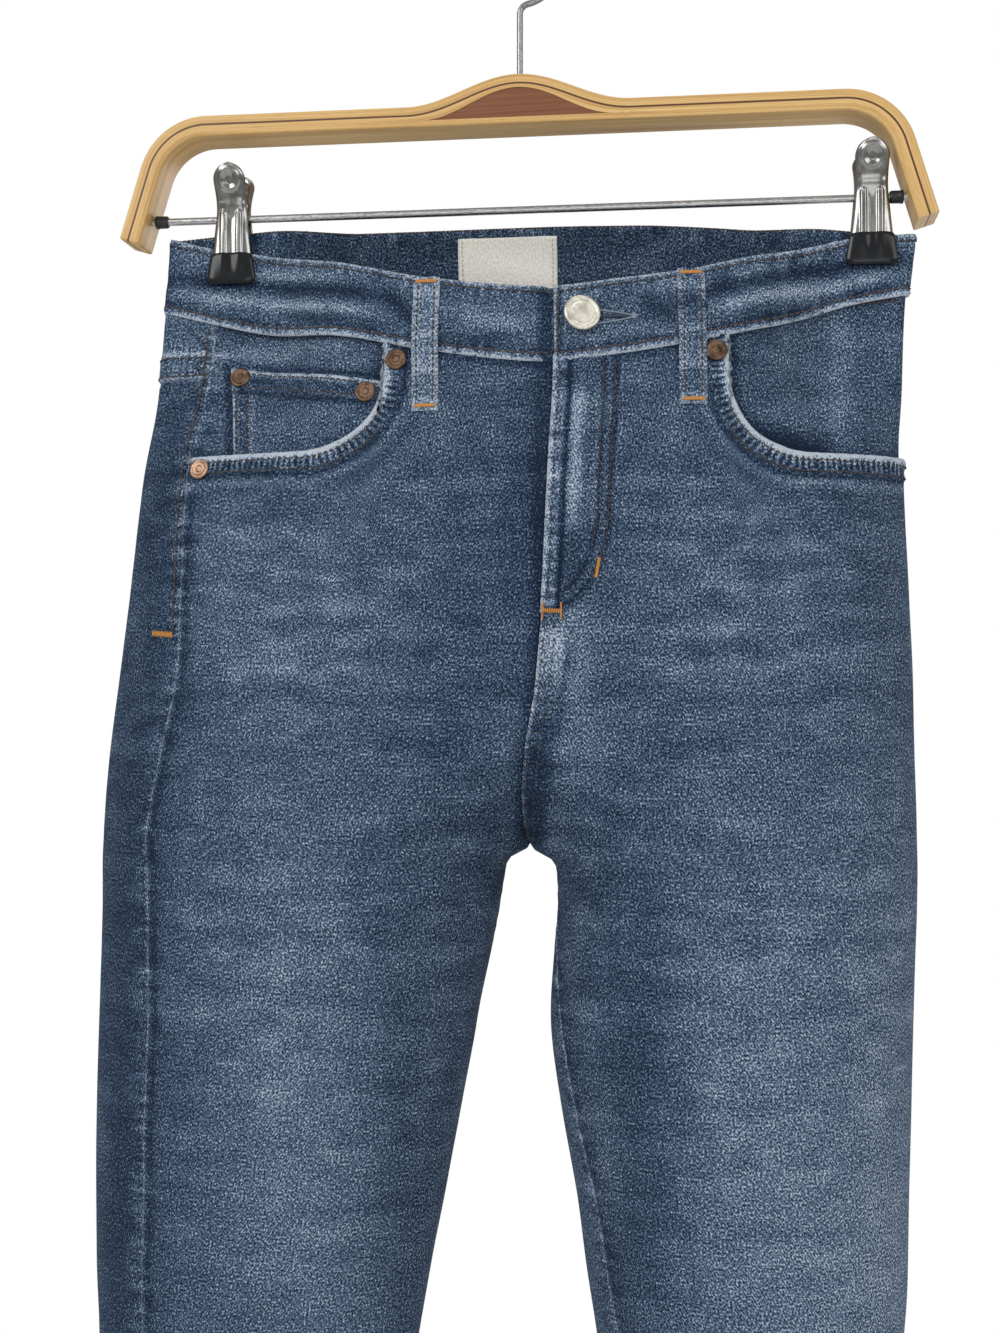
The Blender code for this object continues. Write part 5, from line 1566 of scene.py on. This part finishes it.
def barPiece():
    look = barLook
    stations = barStations()
    low = look["top"] - look["lensDepth"]
    columns = []
    for x, z, dx, dz in stations:
        slope = 1.0
        if abs(x) < look["humpHalf"]:
            slope = math.hypot(1, float(humpTop(x + 0.01) - humpTop(x - 0.01)) / 0.02)
        spots = [(x + dx * d * slope, z + dz * d * slope) for d in (0.0, 1.5, 3.0, *look["veneer"])]
        if abs(x) <= look["humpHalf"] and dz == -1.0:
            roof = float(lensTop(x)) if abs(x) <= look["lensHalf"] else low
            mid = 0.5 * (spots[-1][1] + roof)
            spots += [(x, mid), (x, roof), (x, low), (x, look["top"] - look["thick"])]
        else:
            spots += [(x + dx * d, z + dz * d) for d in (6.0, 7.0, 7.0, look["thick"])]
        columns.append(spots)
    places = np.array(columns)
    depths = [0.0, 1.5, 3.0, *look["veneer"], 6.0, 6.6, 7.0, look["thick"]]
    run = lengths(stations[:, :2])
    bm = bmesh.new()
    alongLayer, depthLayer = bm.verts.layers.float.new("along"), bm.verts.layers.float.new("depth")
    count = len(places)
    bmesh.ops.create_grid(bm, x_segments=count - 1, y_segments=8, size=0.5)
    # The lens-shaped window between rows 6 and 7
    holes = [face for face in bm.faces if {round((vert.co.y + 0.5) * 8) for vert in face.verts} == {6, 7}]
    bmesh.ops.delete(bm, geom=holes, context="FACES_ONLY")
    for vert in bm.verts:
        column, row = round((vert.co.x + 0.5) * (count - 1)), round((vert.co.y + 0.5) * 8)
        vert[alongLayer], vert[depthLayer] = run[column], depths[row]
        vert.co = (places[column, row, 0] * mm, -look["half"] * mm, places[column, row, 1] * mm)
    bmesh.ops.remove_doubles(bm, verts=bm.verts, dist=1e-6)
    thicken(bm, 2 * look["half"])
    outer = []
    for edge in bm.edges:
        a, b = edge.verts
        level = abs(a.co.y - b.co.y) < 1e-6
        ends = abs(a[alongLayer] - b[alongLayer]) < 1e-6 and (a[alongLayer] < 1e-6 or a[alongLayer] > run[-1] - 1e-6)
        rim = a[depthLayer] == b[depthLayer] and a[depthLayer] in (0.0, look["thick"])
        if len(edge.link_faces) == 2 and edge.calc_face_angle(0) > 1.0 and (ends or (level and rim)):
            outer.append(edge)
    edge = look["edge"] * mm
    bmesh.ops.bevel(bm, geom=outer, offset=edge, segments=3, profile=0.5, affect="EDGES", material=-1)
    solidObject("hangerBar", bm, mapleWood, "hanger_bar")


barPiece()


def infillPiece():
    look = barLook
    low = look["top"] - look["lensDepth"] + 0.15
    bm = bmesh.new()
    alongLayer, depthLayer = bm.verts.layers.float.new("along"), bm.verts.layers.float.new("depth")
    bmesh.ops.create_grid(bm, x_segments=60, y_segments=4, size=0.5)
    for vert in bm.verts:
        x = vert.co.x * 2 * 43.0
        z = lerp(low, lensTop(x) - 0.12, vert.co.y + 0.5)
        vert[alongLayer], vert[depthLayer] = x, -z + 0.02 * x
        vert.co = (x * mm, -10.75 * mm, z * mm)
    thicken(bm, 21.5)
    solidObject("hangerInfill", bm, redWood, "hanger_infill")


infillPiece()


def brushed(name, dark, light, rough, stretch):
    finish = Finish(name, Metallic=1.0)
    lines = finish.noise(finish.vector(*(finish.place(i) * stretch[i] for i in range(3))), detail=3.0)
    finish.set(Base_Color=lines.step(0.3, 0.7).blend(dark, light), Roughness=lines.step(0.3, 0.7, *rough))
    finish.relief(lines * 0.03, 0.5)
    return finish.material


hookSteel = brushed("hookSteel", (0.20, 0.20, 0.21), (0.42, 0.42, 0.43), (0.30, 0.42), (2.0, 2.0, 0.3))
rodSteel = brushed("rodSteel", (0.36, 0.36, 0.36), (0.62, 0.62, 0.62), (0.28, 0.45), (0.5, 2.0, 2.0))
clipSteel = brushed("clipSteel", (0.24, 0.237, 0.23), (0.34, 0.336, 0.325), (0.20, 0.28), (0.3, 0.3, 0.05))


def tube(name, points, radius, material, node=None, sides=12):
    """A round wire along points, in millimetres, with flat ends."""
    points = np.array(points, float)
    tangents = unit(np.gradient(points, axis=0))
    bm = bmesh.new()
    rings = []
    for point, tangent in zip(points, tangents):
        tangent = Vector(tangent)
        wide = tangent.cross(Vector((0, 1, 0)))
        wide = wide.normalized() if wide.length > 0.2 else Vector((0, 0, 1))
        high = wide.cross(tangent).normalized()
        basis = Matrix((wide, high, tangent)).transposed().to_4x4()
        where = Matrix.Translation(Vector(point) * mm) @ basis
        made = bmesh.ops.create_circle(bm, segments=sides, radius=radius * mm, matrix=where)
        rings.append(made["verts"])
    for first, second in zip(rings, rings[1:]):
        for i in range(sides):
            j = (i + 1) % sides
            bm.faces.new((first[i], first[j], second[j], second[i]))
    bm.faces.new(rings[0])
    bm.faces.new(rings[-1])
    bmesh.ops.recalc_face_normals(bm, faces=bm.faces)
    solidObject(name, bm, material, node, 50)


hookLook = {"radius": 19.5, "wire": 1.5, "bend": 78, "end": 184}
rodLook = {"height": -137.0, "half": 183.5, "radius": 1.8, "cap": 180.9}
springLook = {"turns": 7, "half": 6.0, "radius": 2.75, "wire": 0.5}


def hookPiece():
    radius, bendAngle = hookLook["radius"], math.radians(hookLook["bend"])
    centre = hookLook["wire"] - radius
    bend = radius * math.cos(bendAngle) / (1 - math.cos(bendAngle))
    foot = centre - (radius + bend) * math.sin(bendAngle)
    points = [(0, 0, z) for z in np.linspace(float(humpTop(0)) - 3, foot, 12)[:-1]]
    for angle in np.linspace(0, bendAngle, 12):
        points.append((bend * (1 - math.cos(angle)), 0, foot + bend * math.sin(angle)))
    for angle in np.linspace(-bendAngle, math.radians(hookLook["end"]), 72)[1:]:
        points.append((radius * math.cos(angle), 0, centre + radius * math.sin(angle)))
    tube("hook", points, hookLook["wire"], hookSteel, "hanger_hook", 16)
    collar = ((2.0, -0.4), (3.0, -0.4), (3.2, 0.2), (3.0, 0.8), (2.2, 1.1), (1.6, 1.1))
    latheObject("hookCollar", collar, hookSteel, place((0, 0, float(humpTop(0))), (0, 0, 1)), 32)


hookPiece()


def rodPieces():
    look = rodLook
    x = np.linspace(-look["half"], look["half"], 60)
    tube("rod", [(xi, 0, look["height"]) for xi in x], look["radius"], rodSteel, "hanger_rod", 20)
    for side, word in words.items():
        profile = (
            (2.0, 0), (2.9, 0), (3.2, 0.3), (3.25, 1.2), (3.0, 1.5), (3.0, 5.2), (2.85, 5.9), (2.4, 6.4), (1.9, 6.4)
        )
        where = place((side * look["cap"], 0, look["height"]), (-side, 0, 0))
        latheObject("rodCap" + word, profile, capRubber, where, 32, "rod_cap_" + word.lower())


capRubber = Finish("capRubber", Base_Color=(0.012, 0.012, 0.013), Roughness=0.42).material
vinyl = Finish("blackVinyl", Base_Color=(0.008, 0.009, 0.011), Roughness=0.22, Specular_IOR_Level=0.3).material
rodPieces()

leafRows = (
    (-112.0, -12.6), (-116.0, -11.6), (-123.0, -8.6), (-130.0, -5.8), (-137.0, -4.8), (-146.0, -5.4), (-154.6, -5.2)
)
leafY = smoothCurve([row[0] for row in leafRows], [row[1] for row in leafRows])
leafWidth = smoothCurve((-160, -154.6, -148, -140, -131, -126, -120), (9.8, 9.6, 8.9, 8.2, 7.5, 7.6, 8.0))


def ribShape(x, z, top, low):
    """Two pressed ribs with round tops."""
    total = np.zeros(x.shape)
    for centre in (-3.9, 3.9):
        across = np.abs(x - centre)
        reach = 1.9 * np.sqrt(np.clip(1 - np.clip((z - (top - 1.9)) / 1.9, 0, 1) ** 2, 0, 1))
        total += (1 - ease(across, 0.45 * reach, reach + 0.05)) * (z < top) * ease(z, low - 1, low)
    return total


def leaf(side, face):
    s, t = np.meshgrid(np.linspace(-1, 1, 45), np.linspace(0, 1, 91))
    z = -112.0 - 43.6 * t**1.15
    rise = np.clip(z + 120.0, 0, 8.0)
    x = s * np.where(z > -120, np.sqrt(np.clip(64 - rise**2, 0.6, 64)), leafWidth(z))
    y, inside = leafY(z), np.abs(s)
    y = y + 1.5 * inside**6 - 0.2 * (1 - inside**2)
    radius = np.hypot(x, z + 119.6)
    y = y - 0.55 * bump(radius, 4.7, 0.8) + 0.95 * (1 - ease(radius, 1.6, 4.0))
    y = y - 0.85 * ribShape(x, z, -133.5, -157) + 0.35 * bump(x, 0, 1.6) * ease(-z, 134, 139)
    y = y - 0.35 * bump(z, -130.5, 1.6) * (1 - inside**4)
    points = np.stack([clipX[side] + x, face * y, z], -1)
    outs = np.zeros(points.shape)
    outs[..., 1] = -face
    where, word = faceWords[face], words[side]
    piece = gridPiece(f"clip{where}{word}", points, outs, [clipSteel], 0.9, maps={})
    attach(piece, "root")
    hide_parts(f"clip_{where.lower()}_{word.lower()}")


def jaw(side, face):
    look = {"top": -154.4, "height": 15.4, "width": 24.6, "thick": 3.4, "inner": 3.15}
    bm = bmesh.new()
    bmesh.ops.create_cube(bm, size=1.0)
    bmesh.ops.subdivide_edges(bm, edges=bm.edges[:], cuts=11, use_grid_fill=True)
    for vert in bm.verts:
        x, y, z = vert.co * 2
        flatten = math.sqrt(max(1 - 0.5 * x**10, 0.2))
        px = x * math.sqrt(max(1 - 0.10 * y * y - 0.16 * abs(z) ** 9, 0.1)) * lerp(1.0, 0.86, ease(0.5 * z + 0.5, 0, 1))
        pz = z * math.sqrt(max(1 - 0.14 * abs(x) ** 7 - 0.12 * y**4, 0.1))
        py = y * math.sqrt(max(1 - 0.30 * abs(x) ** 8 - 0.30 * abs(z) ** 8, 0.1)) * flatten
        out = look["inner"] + look["thick"] * 0.5 * (1 - py)
        if y < -0.5:
            across = 12.3 * px
            ribs = float(bump(across, -3.9, 1.9) + bump(across, 3.9, 1.9)) * float(ease(0.5 * z + 0.5, 0.05, 0.75))
            out += 0.75 * ribs - 0.45 * float(bump(across, 0, 1.8)) * float(ease(z, -0.4, 0.6))
        vert.co = (
            (clipX[side] + 0.5 * look["width"] * px) * mm, -face * out * mm,
            (look["top"] - 0.5 * look["height"] * (1 - pz)) * mm,
        )
    bmesh.ops.recalc_face_normals(bm, faces=bm.faces)
    where, word = faceWords[face], words[side]
    solidObject(f"jaw{where}{word}", bm, vinyl, f"clip_jaw_{where.lower()}_{word.lower()}", 70)


def spring(side):
    look = springLook
    turns = np.linspace(0, 2 * math.pi * look["turns"], 160)
    x = clipX[side] + lerp(-look["half"], look["half"], turns / turns[-1])
    points = np.stack([x, look["radius"] * np.cos(turns), rodLook["height"] + look["radius"] * np.sin(turns)], 1)
    tube("spring" + words[side], points, look["wire"], hookSteel, "clip_spring_" + words[side].lower(), 8)


for side in (-1, 1):
    spring(side)
    for face in (1, -1):
        leaf(side, face)
        jaw(side, face)
print("hanger ready")


for thread in (brown, rust, orange, navy, blue, pale):
    thread.build()
print("stitches ready")

# Set, light and camera

setLook = {"floorZ": -1.19, "size": 2.6, "shade": (0.93, 0.93, 0.93)}


def floor():
    bm = bmesh.new()
    bmesh.ops.create_grid(bm, x_segments=1, y_segments=1, size=0.5 * setLook["size"])
    bmesh.ops.translate(bm, verts=bm.verts, vec=(0, 0, setLook["floorZ"]))
    mesh = newMesh("floor", bm)
    mesh.materials.append(Finish("paper", Base_Color=setLook["shade"], Roughness=0.95).material)
    newObject("floor", mesh)


floor()

lampRows = (
    # name, location, size, watts
    ("lampLeft", (-1.5, -1.7, 0.75), 1.1, 24),
    ("lampRight", (1.7, -1.6, 0.35), 1.2, 13),
    ("lampFront", (0.1, -2.6, -0.5), 1.2, 8),
    ("lampTop", (0.2, 0.1, 1.3), 0.8, 4),
    ("lampBack", (0.9, 2.4, 0.2), 1.4, 12),
)


def lamps():
    target = Vector((0, 0, -0.45))
    for name, spot, size, watts in lampRows:
        data = bpy.data.lights.new(name, "AREA")
        data.energy, data.size = watts, size
        lamp = newObject(name, data)
        lamp.location = spot
        lamp.rotation_euler = (target - Vector(spot)).to_track_quat("-Z", "Y").to_euler()
    world = bpy.data.worlds.new("studio")
    bpy.context.scene.world = world
    world.use_nodes = True
    start = Field(world.node_tree)
    level = start.make("TexCoord", out="Generated").split(2).step(-0.6, 0.6, 0.32, 0.48)
    level = level.larger(start.make("LightPath", out="Is Camera Ray"))
    background = world.node_tree.nodes["Background"]
    world.node_tree.links.new(level.socket, background.inputs["Strength"])
    background.inputs["Color"].default_value = (1, 1, 1, 1)


lamps()

cameraLook = {"place": (0.09084, -0.81885, -0.373), "pitch": 91.1165, "yaw": 7.0, "lens": 46.42}


def camera():
    look = cameraLook
    data = bpy.data.cameras.new("camera")
    data.lens = look["lens"]
    data.sensor_fit, data.sensor_height = "VERTICAL", 36.0
    made = newObject("camera", data)
    made.location = look["place"]
    made.rotation_euler = (math.radians(look["pitch"]), 0, math.radians(look["yaw"]))
    bpy.context.scene.camera = made
    bpy.context.scene.view_settings.view_transform = "Standard"


camera()

print("scene ready")
